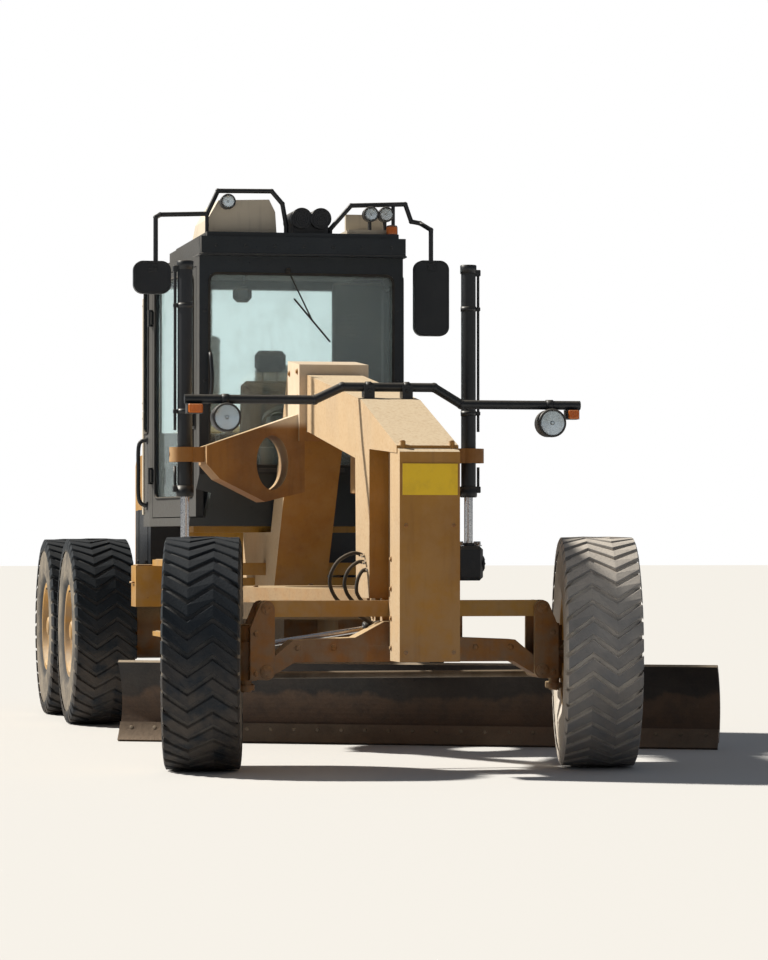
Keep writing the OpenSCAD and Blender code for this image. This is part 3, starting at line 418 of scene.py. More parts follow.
class Build:
    """Collects simple solids into one mesh. Its points are measured as in part.scad."""

    def __init__(self, place=None):
        self.v, self.f, self.sm = [], [], []
        self.place = place or Matrix.Identity(4)

    def box(self, lo, hi, c=0.003, turn=None):
        """A box with its edges cut off by c."""
        mid = (Vector(lo) + Vector(hi)) / 2
        half = (Vector(hi) - Vector(lo)) / 2
        signs = [(a, b, d) for a in (-1, 1) for b in (-1, 1) for d in (-1, 1)]
        number = {}
        for s in signs:
            for k in range(3):
                number[s, k] = len(self.v)
                p = mid + Vector([s[j] * (half[j] - (0 if j == k else c)) for j in range(3)])
                self.v.append(turn @ p if turn else p)
        middle = turn @ mid if turn else mid
        loops = []
        for k in range(3):
            a, b = (k + 1) % 3, (k + 2) % 3
            for sign in (-1, 1):
                ring = sorted((s for s in signs if s[k] == sign), key=lambda s: atan2(s[b], s[a]))
                loops.append([number[s, k] for s in ring])
                for other in (-1, 1):
                    ends = [s for s in signs if s[k] == sign and s[a] == other]
                    loops.append([number[ends[0], k], number[ends[1], k], number[ends[1], a],
                        number[ends[0], a]])
        loops += [[number[s, k] for k in range(3)] for s in signs]
        for loop in loops:
            p = [self.v[i] for i in loop]
            out = (p[1] - p[0]).cross(p[2] - p[0]).dot(sum(p, Vector()) / len(p) - middle)
            self.f.append(tuple(loop if out > 0 else reversed(loop)))
            self.sm.append(False)

    def lathe(self, origin, axis, profile, seg=24):
        """Turns (distance along the axis, radius) points round an axis."""
        ax = Vector(axis).normalized()
        u = ax.orthogonal().normalized()
        w = ax.cross(u)
        n = len(self.v)
        for a, r in profile:
            for i in range(seg):
                t = 2 * pi * i / seg
                self.v.append(Vector(origin) + ax * a + (u * cos(t) + w * sin(t)) * max(r, 1e-5))
        for k in range(len(profile) - 1):
            for i in range(seg):
                j = (i + 1) % seg
                self.f.append((n + k * seg + i, n + k * seg + j, n + (k + 1) * seg + j,
                    n + (k + 1) * seg + i))
                self.sm.append(seg > 8)

    def tube(self, pts, r, seg=10, closed=False):
        """A round tube along points, with closed ends, or closed to a loop."""
        pts = [Vector(p) for p in pts]
        last = len(pts) - 1
        n = len(self.v)
        prev = None
        for k, p in enumerate(pts):
            before = pts[(k - 1) % len(pts)] if closed else pts[max(k - 1, 0)]
            after = pts[(k + 1) % len(pts)] if closed else pts[min(k + 1, last)]
            d = (after - before).normalized()
            u = d.orthogonal() if prev is None else prev - d * prev.dot(d)
            prev = u = u.normalized()
            w = d.cross(u)
            for i in range(seg):
                t = 2 * pi * i / seg
                self.v.append(p + (u * cos(t) + w * sin(t)) * r)
        for k in range(len(pts) if closed else last):
            m = (k + 1) % len(pts)
            for i in range(seg):
                j = (i + 1) % seg
                self.f.append((n + k * seg + i, n + k * seg + j, n + m * seg + j, n + m * seg + i))
                self.sm.append(True)
        if not closed:
            self.f.append(tuple(n + i for i in reversed(range(seg))))
            self.f.append(tuple(n + last * seg + i for i in range(seg)))
            self.sm += [False, False]

    def pipe(self, pts, r, seg=10):
        """A tube on a smooth curve through the points."""
        self.tube(smooth_path(pts), r, seg)

    def collar(self, p, axis, inner, outer, wide, seg=28):
        """A ring round a pipe."""
        self.lathe(p, axis, [(0, inner), (0, outer), (wide, outer), (wide, inner)], seg)

    def knob(self, p, axis, r, h, top, full, seg=24):
        """A short round piece that narrows to the radius top between h and full."""
        self.lathe(p, axis, [(0, r), (h, r), (full, top), (full, 0)], seg)

    def bolt(self, p, axis, r=0.012, h=0.01):
        self.lathe(p, axis, [(0, 0), (0, r * 1.5), (h * 0.25, r * 1.5), (h * 0.25, r)], 14)
        self.lathe(p, axis, [(h * 0.25, r), (h * 0.85, r), (h, r * 0.8), (h, 0)], 6)

    def bolts(self, xs, ys, zs, axis, r, h):
        """Bolts at every place of a grid."""
        for p in product(xs, ys, zs):
            self.bolt(p, axis, r, h)

    def side_bolts(self, x, ys, zs, r, h):
        """Bolts on both sides that point away from the middle."""
        for side in (-1, 1):
            self.bolts([side * x], ys, zs, X * side, r, h)

    def hoop(self, middle, across, up, width, height, corner, r):
        """A tube round a rectangle with rounded corners."""
        self.tube(round_loop(middle, across, up, width, height, corner), r, 8, True)

    def cap(self, p, axis, r, h=0.012, bolts=3):
        """A round plate with a chamfer, held by bolts."""
        self.lathe(p, axis, [(0, r), (h * 0.7, r), (h, r - h * 0.3), (h, 0)], 28)
        ax = Vector(axis).normalized()
        u = ax.orthogonal().normalized()
        w = ax.cross(u)
        for i in range(bolts):
            t = 2 * pi * (i + 0.25) / bolts
            self.bolt(Vector(p) + ax * h + (u * cos(t) + w * sin(t)) * r * 0.6, axis, r * 0.13,
                r * 0.12)

    def done(self, name, mat, body):
        move = Matrix.Translation(at(0, 0, 0)) @ self.place
        faces = self.f
        if move.determinant() < 0:
            faces = [tuple(reversed(q)) for q in faces]
        o = add_obj(name, [move @ v for v in self.v], faces, mat, body)
        for p, s in zip(o.data.polygons, self.sm):
            p.use_smooth = s
        return o


def smooth_path(pts, n=6):
    """Points on a smooth curve through the given ones."""
    pts = [Vector(p) for p in pts]
    out = []
    for k in range(len(pts) - 1):
        p0 = pts[max(k - 1, 0)]
        p1, p2 = pts[k], pts[k + 1]
        p3 = pts[min(k + 2, len(pts) - 1)]
        for i in range(n):
            t = i / n
            out.append(0.5 * ((2 * p1) + (p2 - p0) * t + (2 * p0 - 5 * p1 + 4 * p2 - p3) * t * t
                + (3 * p1 - p0 - 3 * p2 + p3) * t ** 3))
    out.append(pts[-1])
    return out


def round_loop(middle, across, up, width, height, r, n=5):
    """Points round a rectangle with rounded corners, in the plane of across and up."""
    out = []
    for cx, cy, start in ((1, -1, -90), (1, 1, 0), (-1, 1, 90), (-1, -1, 180)):
        for i in range(n + 1):
            a = radians(start + 90 * i / n)
            out.append(Vector(middle) + Vector(across) * (cx * (width / 2 - r) + r * cos(a))
                + Vector(up) * (cy * (height / 2 - r) + r * sin(a)))
    return out


# ---------------------------------------------------------------- wheels
# wheel: its end and side in the names, x and y of its middle, its angle at rest, its finish
WHEELS = [
    ("rear", "left_front", REAR_X, REAR_AXLES[0], 0.0, "tyre"),
    ("rear", "left_back", REAR_X, REAR_AXLES[1], 0.0, "tyre"),
    ("rear", "right_front", -REAR_X, REAR_AXLES[0], 0.0, "tyre"),
    ("rear", "right_back", -REAR_X, REAR_AXLES[1], 0.0, "tyre"),
    ("front", "left", FRONT_X, 0.0, STEER, "dusty_tyre"),
    ("front", "right", -FRONT_X, 0.0, STEER, "tyre"),
]
# half a tyre's section from its middle to the bead: distance across, radius
FLANK = [(0.0, 0.626), (0.1, 0.6255), (0.1625, 0.6235), (0.182, 0.612), (0.197, 0.588),
    (0.2055, 0.555), (0.2085, 0.53), (0.2095, 0.5), (0.2085, 0.492), (0.2105, 0.484),
    (0.2115, 0.44), (0.2122, 0.42), (0.2095, 0.412), (0.2122, 0.404), (0.2105, 0.388),
    (0.196, 0.35), (0.18, 0.322), (0.1675, 0.3055)]
# a lug's sections from side to side: distance across, shift along the tread in runs, top radius
LUG_SECTIONS = [(-0.2122, -0.27, 0.588), (-0.2085, -0.26, 0.618), (-0.2, -0.24, 0.6385),
    (-0.068, 0.24, 0.6435), (0.068, -0.24, 0.6435), (0.2, 0.24, 0.6385), (0.2085, 0.26, 0.618),
    (0.2122, 0.27, 0.588)]
LUG_RUN = 2 * pi * TYRE_R / LUGS


def wheel_place(x, y, turn):
    """Takes a wheel drawn round the X axis, outer side towards +X, to its place."""
    side = copysign(1, x)
    place = Matrix.Translation((x, y, AXLE_Z)) @ Matrix.Diagonal((side, 1, 1, 1))
    pivot = Vector((side * KING_X, 0, 0))
    return (Matrix.Translation(pivot) @ Matrix.Rotation(-turn, 4, "Z") @ Matrix.Translation(-pivot)
        @ place)


def tyre_mesh(b):
    """Carcass and zigzag lugs: every second lug is a little lower."""
    seg = 96
    section = [(-x, r) for x, r in reversed(FLANK[1:])] + FLANK
    n = len(b.v)
    for x, r in section:
        for i in range(seg):
            a = 2 * pi * i / seg
            b.v.append(Vector((x, -r * sin(a), r * cos(a))))
    for k in range(len(section) - 1):
        for i in range(seg):
            j = (i + 1) % seg
            b.f.append((n + k * seg + i, n + (k + 1) * seg + i, n + (k + 1) * seg + j,
                n + k * seg + j))
            b.sm.append(True)
    height = [0.0] * len(b.v)
    flank = [1.0 if abs(v.x) > 0.2 and hypot(v.y, v.z) < 0.6 else 0.0 for v in b.v]
    half = 0.165 * LUG_RUN
    for i in range(2 * LUGS):
        turn = pi * i / LUGS
        low = 0.0015 if i % 2 else 0.0
        start = len(b.v)
        for x, shift, top in LUG_SECTIONS:
            s = shift * LUG_RUN
            base = top - 0.022 if abs(x) < 0.205 else top - 0.03
            for r, w, up in ((base, half + 0.007, 0.0), (top - 0.004 - low, half + 0.001, 0.8),
                    (top - low, half - 0.003, 1.0)):
                for side in (-1, 1):
                    a = turn - (s + side * w) / TYRE_R
                    b.v.append(Vector((x, -r * sin(a), r * cos(a))))
                    height.append(up)
                    flank.append(0.0)
        count = len(LUG_SECTIONS)
        # rows of a section: 0 base, 1 base, 2 edge, 3 edge, 4 top, 5 top
        for k in range(count - 1):
            p, q = start + 6 * k, start + 6 * (k + 1)
            for u, v in ((0, 2), (2, 4), (4, 5), (5, 3), (3, 1)):
                b.f.append((p + v, p + u, q + u, q + v))
                b.sm.append(False)
        for p, flip in ((start, False), (start + 6 * (count - 1), True)):
            loop = [p, p + 1, p + 3, p + 5, p + 4, p + 2]
            b.f.append(tuple(reversed(loop) if flip else loop))
            b.sm.append(False)
    return height, flank


def around(count, middle, radius):
    """Points on a circle in the YZ plane."""
    for i in range(count):
        a = 2 * pi * i / count
        yield Vector(middle) + Vector((0, radius * sin(a), radius * cos(a)))


def wheel_hardware(place, body):
    """Nuts, hub cap, bead ring and valve on a rim's outer side."""
    b = Build(place)
    for p in around(10, (0.112, 0, 0), 0.155):
        b.bolt(p, X, 0.014, 0.02)
        b.knob(p + X * 0.018, X, 0.008, 0.014, 0.005, 0.017, 12)
    b.done("wheel nuts", "cast", body)
    b = Build(place)
    b.lathe((0.1525, 0, 0), X, [(0, 0.1), (0.008, 0.1), (0.012, 0.094), (0.012, 0.07),
        (0.026, 0.064), (0.032, 0.045), (0.033, 0)], 40)
    for p in around(8, (0.1645, 0, 0), 0.083):
        b.bolt(p, X, 0.006, 0.006)
    b.lathe((0.184, 0, 0), X, [(0, 0.32), (0.003, 0.3215), (0.0045, 0.317), (0.003, 0.3125),
        (0, 0.312)], 64)
    b.done("hub cap and bead ring", "rim", body)
    b = Build(place)
    b.tube([(0.125, 0, 0.262), (0.15, 0, 0.272), (0.178, 0, 0.276)], 0.0055, 10)
    b.knob((0.176, 0, 0.276), X, 0.0075, 0.014, 0.005, 0.017, 10)
    b.done("valve", "cast", body)


def wheels():
    for end, side, x, y, turn, finish in WHEELS:
        body, node_name = f"{end}_wheel_{side}", f"{end}_tyre_{side}"
        place = wheel_place(x, y, turn)
        b = Build(place)
        height, flank = tyre_mesh(b)
        o = b.done(node_name + " tread", finish, body)
        for name, values in (("lug_height", height), ("flank", flank)):
            attribute = o.data.attributes.new(name, "FLOAT", "POINT")
            attribute.data.foreach_set("value", values)
        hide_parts(node_name)
        wheel_hardware(place, body)


# ---------------------------------------------------------------- lamps and mirrors
def round_lamp(x, y, z, r, body):
    """Bezel, reflector and ribbed lens on the front of a lamp's housing."""
    b = Build()
    b.lathe((x, y, z), -Y, [(-0.02, r + 0.0035), (0.006, r + 0.0035), (0.011, r), (0.011, r * 0.9),
        (0.004, r * 0.88)], 40)
    b.done("lamp bezel", "lamp", body)
    b = Build()
    b.lathe((x, y, z), -Y, [(0.0008, 0), (0.0015, r * 0.3), (0.0035, r * 0.7), (0.0055, r * 0.89)],
        40)
    b.lathe((x, y, z), -Y, [(0.0015, r * 0.16), (0.007, r * 0.14), (0.0085, r * 0.08), (0.0085, 0)],
        20)
    b.done("lamp reflector", "reflector", body)
    b = Build()
    b.lathe((x, y, z), -Y, [(0.007, r * 0.9), (0.01, r * 0.8), (0.0125, r * 0.5), (0.0132, 0)], 40)
    b.done("lamp glass", "lens", body)


def lamps():
    right_z = BAR_Z - RIGHT_DROP - BAR_R
    left_z = BAR_Z - LEFT_DROP - BAR_R
    # x, y of the front face, z, radius
    for x, y, z, r in ((-0.93, 0.33, right_z - 0.078, 0.078), (0.945, 0.33, left_z - 0.078, 0.078),
            (0.457, 3.215, 3.436, 0.047), (0.557, 3.215, 3.436, 0.047),
            (-0.479, 3.203, 3.5, 0.046)):
        round_lamp(x, y, z, r, FRONT)
    for x, z in ((-1.105, right_z - 0.0275), (1.075, left_z - 0.0275)):
        b = Build()
        wide = 0.041 if x < 0 else 0.031
        b.box((x - wide, 0.338, z - 0.025), (x + wide, 0.352, z + 0.025), 0.005)
        for i in range(5):
            rib = x - wide + 0.008 + i * (2 * wide - 0.016) / 4
            b.box((rib - 0.003, 0.3355, z - 0.02), (rib + 0.003, 0.3385, z + 0.02), 0.001)
        b.done("turn signal lens", "amber", FRONT)
    b = Build()
    b.lathe((0.59, 3.19, ROOF_Z), Z, [(0.004, 0.037), (0.01, 0.0375), (0.05, 0.0365),
        (0.062, 0.028), (0.067, 0)], 30)
    b.done("beacon dome", "amber", FRONT)
    # grilles on the front of the two round housings
    b = Build()
    for x in (0.0, 0.125):
        for r in (0.058, 0.045, 0.032, 0.019, 0.006):
            b.lathe((x, 3.2, 3.4), -Y, [(0, r + 0.004), (0.005, r + 0.003), (0.005, r - 0.003),
                (0, r - 0.004)], 32)
        b.lathe((x, 3.2, 3.4), -Y, [(-0.03, 0.068), (0.008, 0.068), (0.01, 0.065), (0.008, 0.061),
            (0, 0.061)], 36)
    b.done("fan grilles", "black", FRONT)
    # tail lamps on the bumper
    for side in (-1, 1):
        b = Build()
        b.box((side * 0.77 - 0.07, 7.97, 1.13), (side * 0.77 + 0.07, 8.02, 1.2), 0.006)
        b.done("tail lamp housing", "lamp", REAR)
        b = Build()
        b.box((side * 0.77 - 0.06, 8.019, 1.138), (side * 0.77 + 0.06, 8.032, 1.192), 0.005)
        for i in range(4):
            rib = side * 0.77 - 0.045 + i * 0.03
            b.box((rib - 0.002, 8.031, 1.145), (rib + 0.002, 8.034, 1.185), 0.0008)
        b.done("tail lamp lens", "red", REAR)


def mirrors():
    # x and z of the housing's middle, width, height
    for x, z, width, height in ((0.852, 2.8948, 0.23, 0.49), (-0.97, 3.0048, 0.24, 0.21)):
        b = Build()
        loop = round_loop((x, MIRROR_Y + 0.0002, z), X, Z, width - 0.03, height - 0.03, 0.04)
        n = len(b.v)
        b.v += loop
        b.f.append(tuple(range(n + len(loop) - 1, n - 1, -1)))
        b.sm.append(False)
        b.done("mirror glass", "mirror", FRONT)
        b = Build()
        b.hoop((x, MIRROR_Y, z), X, Z, width - 0.018, height - 0.018, 0.045, 0.006)
        b.hoop((x, MIRROR_Y - 0.0545, z), X, Z, width - 0.02, height - 0.02, 0.048, 0.004)
        b.box((x - 0.03, MIRROR_Y - 0.06, z + height / 2 - 0.07),
            (x + 0.03, MIRROR_Y - 0.053, z + height / 2 - 0.02))
        for dx in (-0.018, 0.018):
            b.bolt((x + dx, MIRROR_Y - 0.06, z + height / 2 - 0.045), -Y, 0.006, 0.006)
        b.done("mirror rims", "black", FRONT)
    # mirror inside the windscreen
    b = Build()
    b.box((-0.43, 3.3, 2.86), (-0.31, 3.33, 2.965), 0.028)
    b.pipe([(-0.36, 3.31, 2.975), (-0.36, 3.29, 3.02), (-0.36, 3.275, 3.06)], 0.006)
    b.done("inner mirror", "plastic", FRONT)


# ---------------------------------------------------------------- cab
def door_side(side):
    """Door's plane as in part.scad: outer face at x = 0, back edge at y = 0."""
    return (Matrix.Diagonal((side, 1, 1, 1)) @ Matrix.Translation((CAB_X, BEND_Y, 0))
        @ Matrix.Rotation(-DOOR_A, 4, "Z"))


def cab_trim():
    b = Build()
    # window seals: middle, direction across, width, height
    wide, high = 2 * CAB_FX - 0.14, WINDOW_Z1 - 1.81
    back_wide, back_high = 2 * CAB_X - 0.18, WINDOW_Z1 - 2.05
    seals = [((0, CAB_Y0 - 0.001, 1.81 + high / 2), X, wide, high),
             ((0, CAB_Y1 + 0.001, 2.05 + back_high / 2), X, back_wide, back_high)]
    for side in (-1, 1):
        middle = (side * (CAB_X + 0.001), (BEND_Y + CAB_Y1 - 0.01) / 2, 2.05 + back_high / 2)
        seals.append((middle, Y, CAB_Y1 - 0.11 - BEND_Y, back_high))
    for middle, across, width, height in seals:
        b.hoop(middle, across, Z, width + 0.012, height + 0.012, 0.05, 0.009)
    b.done("window seals", "rubber", FRONT)
    # seams and bolts of the cab's corners, and the roof's edge
    b = Build()
    for x, y, way in ((CAB_FX - 0.035, CAB_Y0, -Y), (CAB_X - 0.045, CAB_Y1, Y)):
        b.bolts((-x, x), [y], (1.9, 2.35, 2.8), way, 0.008, 0.006)
    b.bolts([-0.57 + 0.19 * k for k in range(7)], [CAB_Y0 - 0.09], [CAB_TOP + 0.06], -Y, 0.007,
        0.005)
    b.hoop((0, (CAB_Y0 - 0.09 + CAB_Y1 + 0.03) / 2, CAB_TOP + 0.004), X, Y, 2 * CAB_FX + 0.008,
        CAB_Y1 - CAB_Y0 + 0.128, 0.02, 0.007)
    b.done("cab bolts and drip rail", "cab", FRONT)
    # pale strips along the cab's back corners, on both sides: painted highlights for the sunlit
    # edges of the cab frame
    b = Build()
    for side in (-1, 1):
        for lo, hi in ((1.5, 2.2), (2.204, 2.96)):
            b.box((side * 0.8495 - 0.0055, 4.515, lo), (side * 0.8495 + 0.0055, 4.56, hi), 0.003)
            b.bolt((side * 0.855, 4.538, lo + 0.05), X * side, 0.006, 0.004)
            b.bolt((side * 0.855, 4.538, hi - 0.05), X * side, 0.006, 0.004)
    b.done("cab corner highlight strips", "roof", FRONT)
    # lower front panel below the windscreen, with ribs
    b = Build()
    for k in range(5):
        b.box((-0.5 + 0.22 * k, CAB_Y0 - 0.006, 1.765), (-0.38 + 0.22 * k, CAB_Y0 + 0.002, 1.79),
            0.002)
    b.done("cab front vents", "plastic", FRONT)
    # the wiper hung above the windscreen: its arm and its rubber blade
    b = Build()
    foot, tip, run = Vector((-0.09, 3.186, 3.06)), Vector((0.065, 3.184, 2.742)), Vector((0.118, 0,
        -0.138))
    b.knob((foot.x, CAB_Y0, foot.z), -Y, 0.018, 0.012, 0.011, 0.02, 16)
    b.tube([foot, tip], 0.005, 8)
    b.tube([tip - run, tip, tip + run], 0.006, 8)
    b.tube([tip - run * 0.97 + Vector((0, 0.009, 0)), tip + run * 0.97 + Vector((0, 0.009, 0))],
        0.0035, 8)
    b.done("wipers", "rubber", FRONT)
    # grab handles: at the front corner and beside the doors
    b = Build()
    b.pipe([(-0.6, 3.2, 2.2), (-0.598, 3.15, 2.24), (-0.592, 3.125, 2.36), (-0.598, 3.15, 2.5),
        (-0.6, 3.2, 2.53)], 0.012)
    for side in (-1, 1):
        b.pipe([(side * 0.85, 4.36, 1.56), (side * 0.9, 4.37, 1.6), (side * 0.905, 4.37, 1.8),
            (side * 0.9, 4.37, 1.97), (side * 0.85, 4.36, 2.0)], 0.014)
        for h in (1.56, 2.0):
            b.knob((side * CAB_X, 4.36, h), X * side, 0.028, 0.006, 0.024, 0.008, 18)
    b.done("grab handles", "black", FRONT)
    for side, body in ((1, "cab_door_left"), (-1, "cab_door_right")):
        b = Build(door_side(side))
        y0, y1 = -DOOR_LEN + 0.07, -0.07
        b.hoop((0.001, (y0 + y1) / 2, 2.32), Y, Z, y1 - y0 - 0.108, 1.432, 0.05, 0.009)
        b.done("door window seal", "rubber", body)
        b = Build(door_side(side))
        b.box((0, y0 + 0.012, 2.04), (0.006, y0 + 0.052, 2.22), 0.002)
        b.knob((0.006, y0 + 0.03, 2.24), X, 0.012, 0.006, 0.009, 0.008, 16)
        b.box((-0.075, y0 + 0.1, 2.06), (-0.05, y0 + 0.5, 2.09), 0.006)
        b.done("door lock and inner rail", "plastic", body)


def cab_inside():
    b = Build()
    # gauges and screen on the column
    for gx in (-0.11, 0.0, 0.11):
        b.lathe((gx, 3.46, 2.13), (0, 0.5, 1), [(0, 0.046), (0.012, 0.046), (0.014, 0.042),
            (0.01, 0.04), (0.01, 0)], 24)
    b.box((0.5, 3.5, 2.1), (0.52, 3.72, 2.26), 0.006)
    b.tube([(0.51, 3.61, 2.1), (0.5, 3.66, 1.95), (0.47, 3.76, 1.9)], 0.012)
    # lever knobs and boots on both pods
    for side in (-1, 1):
        b.lathe((side * 0.39, 3.82, 2.02), Z, [(0, 0.05), (0.012, 0.048), (0.018, 0.036),
            (0.03, 0.04), (0.042, 0.028), (0.055, 0.031), (0.06, 0.026)], 24)
        b.lathe((side * 0.39, 3.82, 2.13), Z, [(0, 0.025), (0.02, 0.031), (0.05, 0.031),
            (0.07, 0.022), (0.075, 0)], 24)
        for k in range(4):
            b.lathe((side * 0.39 - 0.045 + 0.03 * k, 3.9, 2.02), Z,
                [(0, 0.01), (0.012, 0.009), (0.014, 0)], 12)
    # pedals
    for px in (-0.2, 0.2):
        b.box((px - 0.05, 3.36, 1.77), (px + 0.05, 3.375, 1.93), 0.005)
        for k in range(5):
            b.box((px - 0.044, 3.374, 1.785 + 0.028 * k), (px + 0.044, 3.38, 1.795 + 0.028 * k),
                0.002)
    b.done("controls trim", "plastic", FRONT)
    # headliner with a lamp
    b = Build()
    b.box((-0.55, 3.35, 3.085), (0.55, 4.45, 3.105), 0.008)
    b.box((-0.1, 3.7, 3.068), (0.1, 3.78, 3.086), 0.006)
    b.done("headliner", "liner", FRONT)
    # cover of the left back pillar, with its air vents
    b = Build()
    b.box((0.43, 4.4, 1.48), (0.78, 4.49, 3.08), 0.02)
    for k in range(6):
        b.box((0.47, 4.396, 2.7 + 0.03 * k), (0.6, 4.402, 2.715 + 0.03 * k), 0.002)
    b.done("back pillar cover", "plastic", FRONT)
    # floor mat with ribs
    b = Build()
    b.box((-0.55, 3.48, 1.4702), (0.55, 4.45, 1.478), 0.003)
    for k in range(22):
        b.box((-0.52, 3.5 + 0.043 * k, 1.4775), (0.52, 3.515 + 0.043 * k, 1.4805), 0.001)
    b.done("floor mat", "rubber", FRONT)


def press(o, pinned, pressure, most):
    """Swells a pad by a short cloth simulation; pinned picks the points that stay."""
    o.data.update()
    hold = o.vertex_groups.new(name="hold")
    rest = [v.co.copy() for v in o.data.vertices]
    hold.add([i for i, co in enumerate(rest) if pinned(co)], 1.0, "REPLACE")
    cloth = o.modifiers.new("cloth", "CLOTH")
    cloth.settings.quality = 4
    cloth.settings.mass = 0.4
    cloth.settings.tension_stiffness = 20
    cloth.settings.compression_stiffness = 20
    cloth.settings.use_pressure = True
    cloth.settings.uniform_pressure_force = pressure
    cloth.settings.vertex_group_mass = "hold"
    cloth.settings.effector_weights.gravity = 0.0
    cloth.collision_settings.use_collision = False
    for step in range(1, 21):
        bpy.context.scene.frame_set(step)
    graph = bpy.context.evaluated_depsgraph_get()
    moved = [v.co.copy() for v in o.evaluated_get(graph).data.vertices]
    bpy.context.scene.frame_set(1)
    o.modifiers.remove(cloth)
    for v, a, c in zip(o.data.vertices, rest, moved):
        d = c - a
        v.co = a + d * min(1.0, most / d.length) if d.length > 1e-9 else a


def seat_pad(name, middle, size, tilt, mat):
    """A cushion: rounded block, swollen by a simulation, with a seam round it."""
    b = Build()
    half = [s / 2 - 0.012 for s in size]
    b.box([-h for h in half], half, 0.035)
    place = Matrix.Translation(middle) @ Matrix.Rotation(tilt, 4, "X")
    o = b.done(name, mat, FRONT)
    shift = Matrix.Translation(at(0, 0, 0))
    o.data.transform(shift.inverted())
    fine = o.modifiers.new("fine", "REMESH")
    fine.mode = "VOXEL"
    fine.voxel_size = 0.006
    graph = bpy.context.evaluated_depsgraph_get()
    me = bpy.data.meshes.new_from_object(o.evaluated_get(graph))
    o.modifiers.clear()
    o.data = me
    o.data.materials.clear()
    o.data.materials.append(M[mat])
    low = -half[2] + 0.004
    press(o, lambda co: co.z < low, 4.0, 0.024)
    sub = o.modifiers.new("smooth", "SUBSURF")
    sub.levels = sub.render_levels = 1
    graph = bpy.context.evaluated_depsgraph_get()
    me = bpy.data.meshes.new_from_object(o.evaluated_get(graph))
    o.modifiers.clear()
    o.data = me
    for p in o.data.polygons:
        p.use_smooth = True
    top = [o.closest_point_on_mesh(p)[1] for p in round_loop((0, 0, half[2] * 0.45), X, Y,
        2 * half[0] + 0.1, 2 * half[1] + 0.1, 0.1, 8)]
    o.data.transform(shift @ place)
    seam = Build(place)
    seam.tube(top, 0.0045, 8, True)
    seam.done(name + " seam", "rubber", FRONT)
    return o


def seat():
    cushion = seat_pad("seat cushion", (0, 4.14, CAB_Z0 + 0.33), (0.49, 0.49, 0.13), 0.0, "seat")
    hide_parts("seat")
    seat_pad("seat back", (0, 4.4, 2.14), (0.46, 0.56, 0.11), radians(98), "seat")
    seat_pad("head rest", (0, 4.445, 2.54), (0.25, 0.17, 0.08), radians(95), "seat")
    for side in (-1, 1):
        seat_pad("arm pad", (side * 0.28, 4.155, 2.015), (0.07, 0.34, 0.05), 0.0, "seat")
    b = Build()
    b.box((-0.2, 3.98, 1.4705), (0.2, 4.32, 1.52), 0.01)
    for k in range(5):
        b.hoop((0, 4.15, 1.53 + 0.025 * k), X, Y, 0.36, 0.3, 0.05, 0.013)
    b.box((-0.2, 3.96, 1.65), (0.2, 4.34, 1.68), 0.008)
    for px in (-0.05, 0.05):
        b.pipe([(px, 4.445, 2.4), (px, 4.45, 2.48)], 0.007)
    b.box((-0.2, 4.35, 1.68), (0.2, 4.4, 1.9), 0.01)
    for side in (-1, 1):
        b.pipe([(side * 0.26, 4.36, 1.9), (side * 0.28, 4.35, 1.97), (side * 0.28, 4.28, 1.992)],
            0.013)
        b.tube([(side * 0.28, 4.3, 1.99), (side * 0.28, 4.02, 1.99)], 0.01)
        b.tube([(side * 0.2, 4.36, 1.9), (side * 0.27, 4.36, 1.9)], 0.012)
    b.done("seat base", "plastic", FRONT)


# ---------------------------------------------------------------- front frame and axle
def front_hardware():
    b = Build()
    # flange bolts on the nose's sides and the lower plate
    b.side_bolts(0.165, [-0.53], (0.74, 0.9, 1.06, 1.22), 0.011, 0.01)
    b.bolts((-0.135, 0.135), [-0.69], [1.85], Z, 0.012, 0.008)
    for h in (0.72, 1.4):
        for px in (-0.13, 0.13):
            b.lathe((px, -0.76, h), -Y, [(0, 0.011), (0.003, 0.01), (0.0045, 0.006), (0.0045, 0)],
                14)
    # saddle plates
    b.side_bolts(0.215, (2.13, 2.41), (2.0, 2.2, 2.36), 0.013, 0.012)
    b.done("front frame bolts", "ochre", FRONT)
    b = Build()
    # clamps of the light bar and of its brackets
    for px in (-0.11, 0.11):
        b.collar((px - 0.016, BAR_Y, BAR_Z), X, BAR_R, 0.032, 0.032, 24)
        b.bolt((px, BAR_Y - 0.04, BAR_Z - 0.02), -Y, 0.009, 0.008)
    for px in (-0.93, 0.945):
        drop = RIGHT_DROP if px < 0 else LEFT_DROP
        b.collar((px - 0.02, BAR_Y, BAR_Z - drop), X, BAR_R, 0.031, 0.04, 24)
        b.lathe((px, 0.44, BAR_Z - drop - 0.104), Y, [(0, 0.074), (0.012, 0.066), (0.026, 0.04),
            (0.032, 0.014), (0.032, 0)], 30)
    b.done("light bar clamps", "black", FRONT)
    # cable in loom along the bar
    for name, line in (("lamp lead right", [(-1.08, 0.428, 2.118), (-0.7, 0.43, 2.12),
            (-0.42, 0.43, 2.125), (-0.25, 0.43, 2.2), (-0.1, 0.43, 2.2)]),
            ("lamp lead left", [(1.05, 0.428, 2.098), (0.7, 0.43, 2.1), (0.43, 0.43, 2.105),
            (0.26, 0.43, 2.2), (0.1, 0.43, 2.2)])):
        b = Build()
        b.tube(smooth_path(line, 8), 0.006, 8)
        for t in (0.15, 0.4, 0.6, 0.85):
            p = smooth_path(line, 8)[int(t * 32)]
            b.collar(p - X * 0.006, X, 0.0062, 0.008, 0.012, 10)
        b.done(name, "rubber", FRONT)


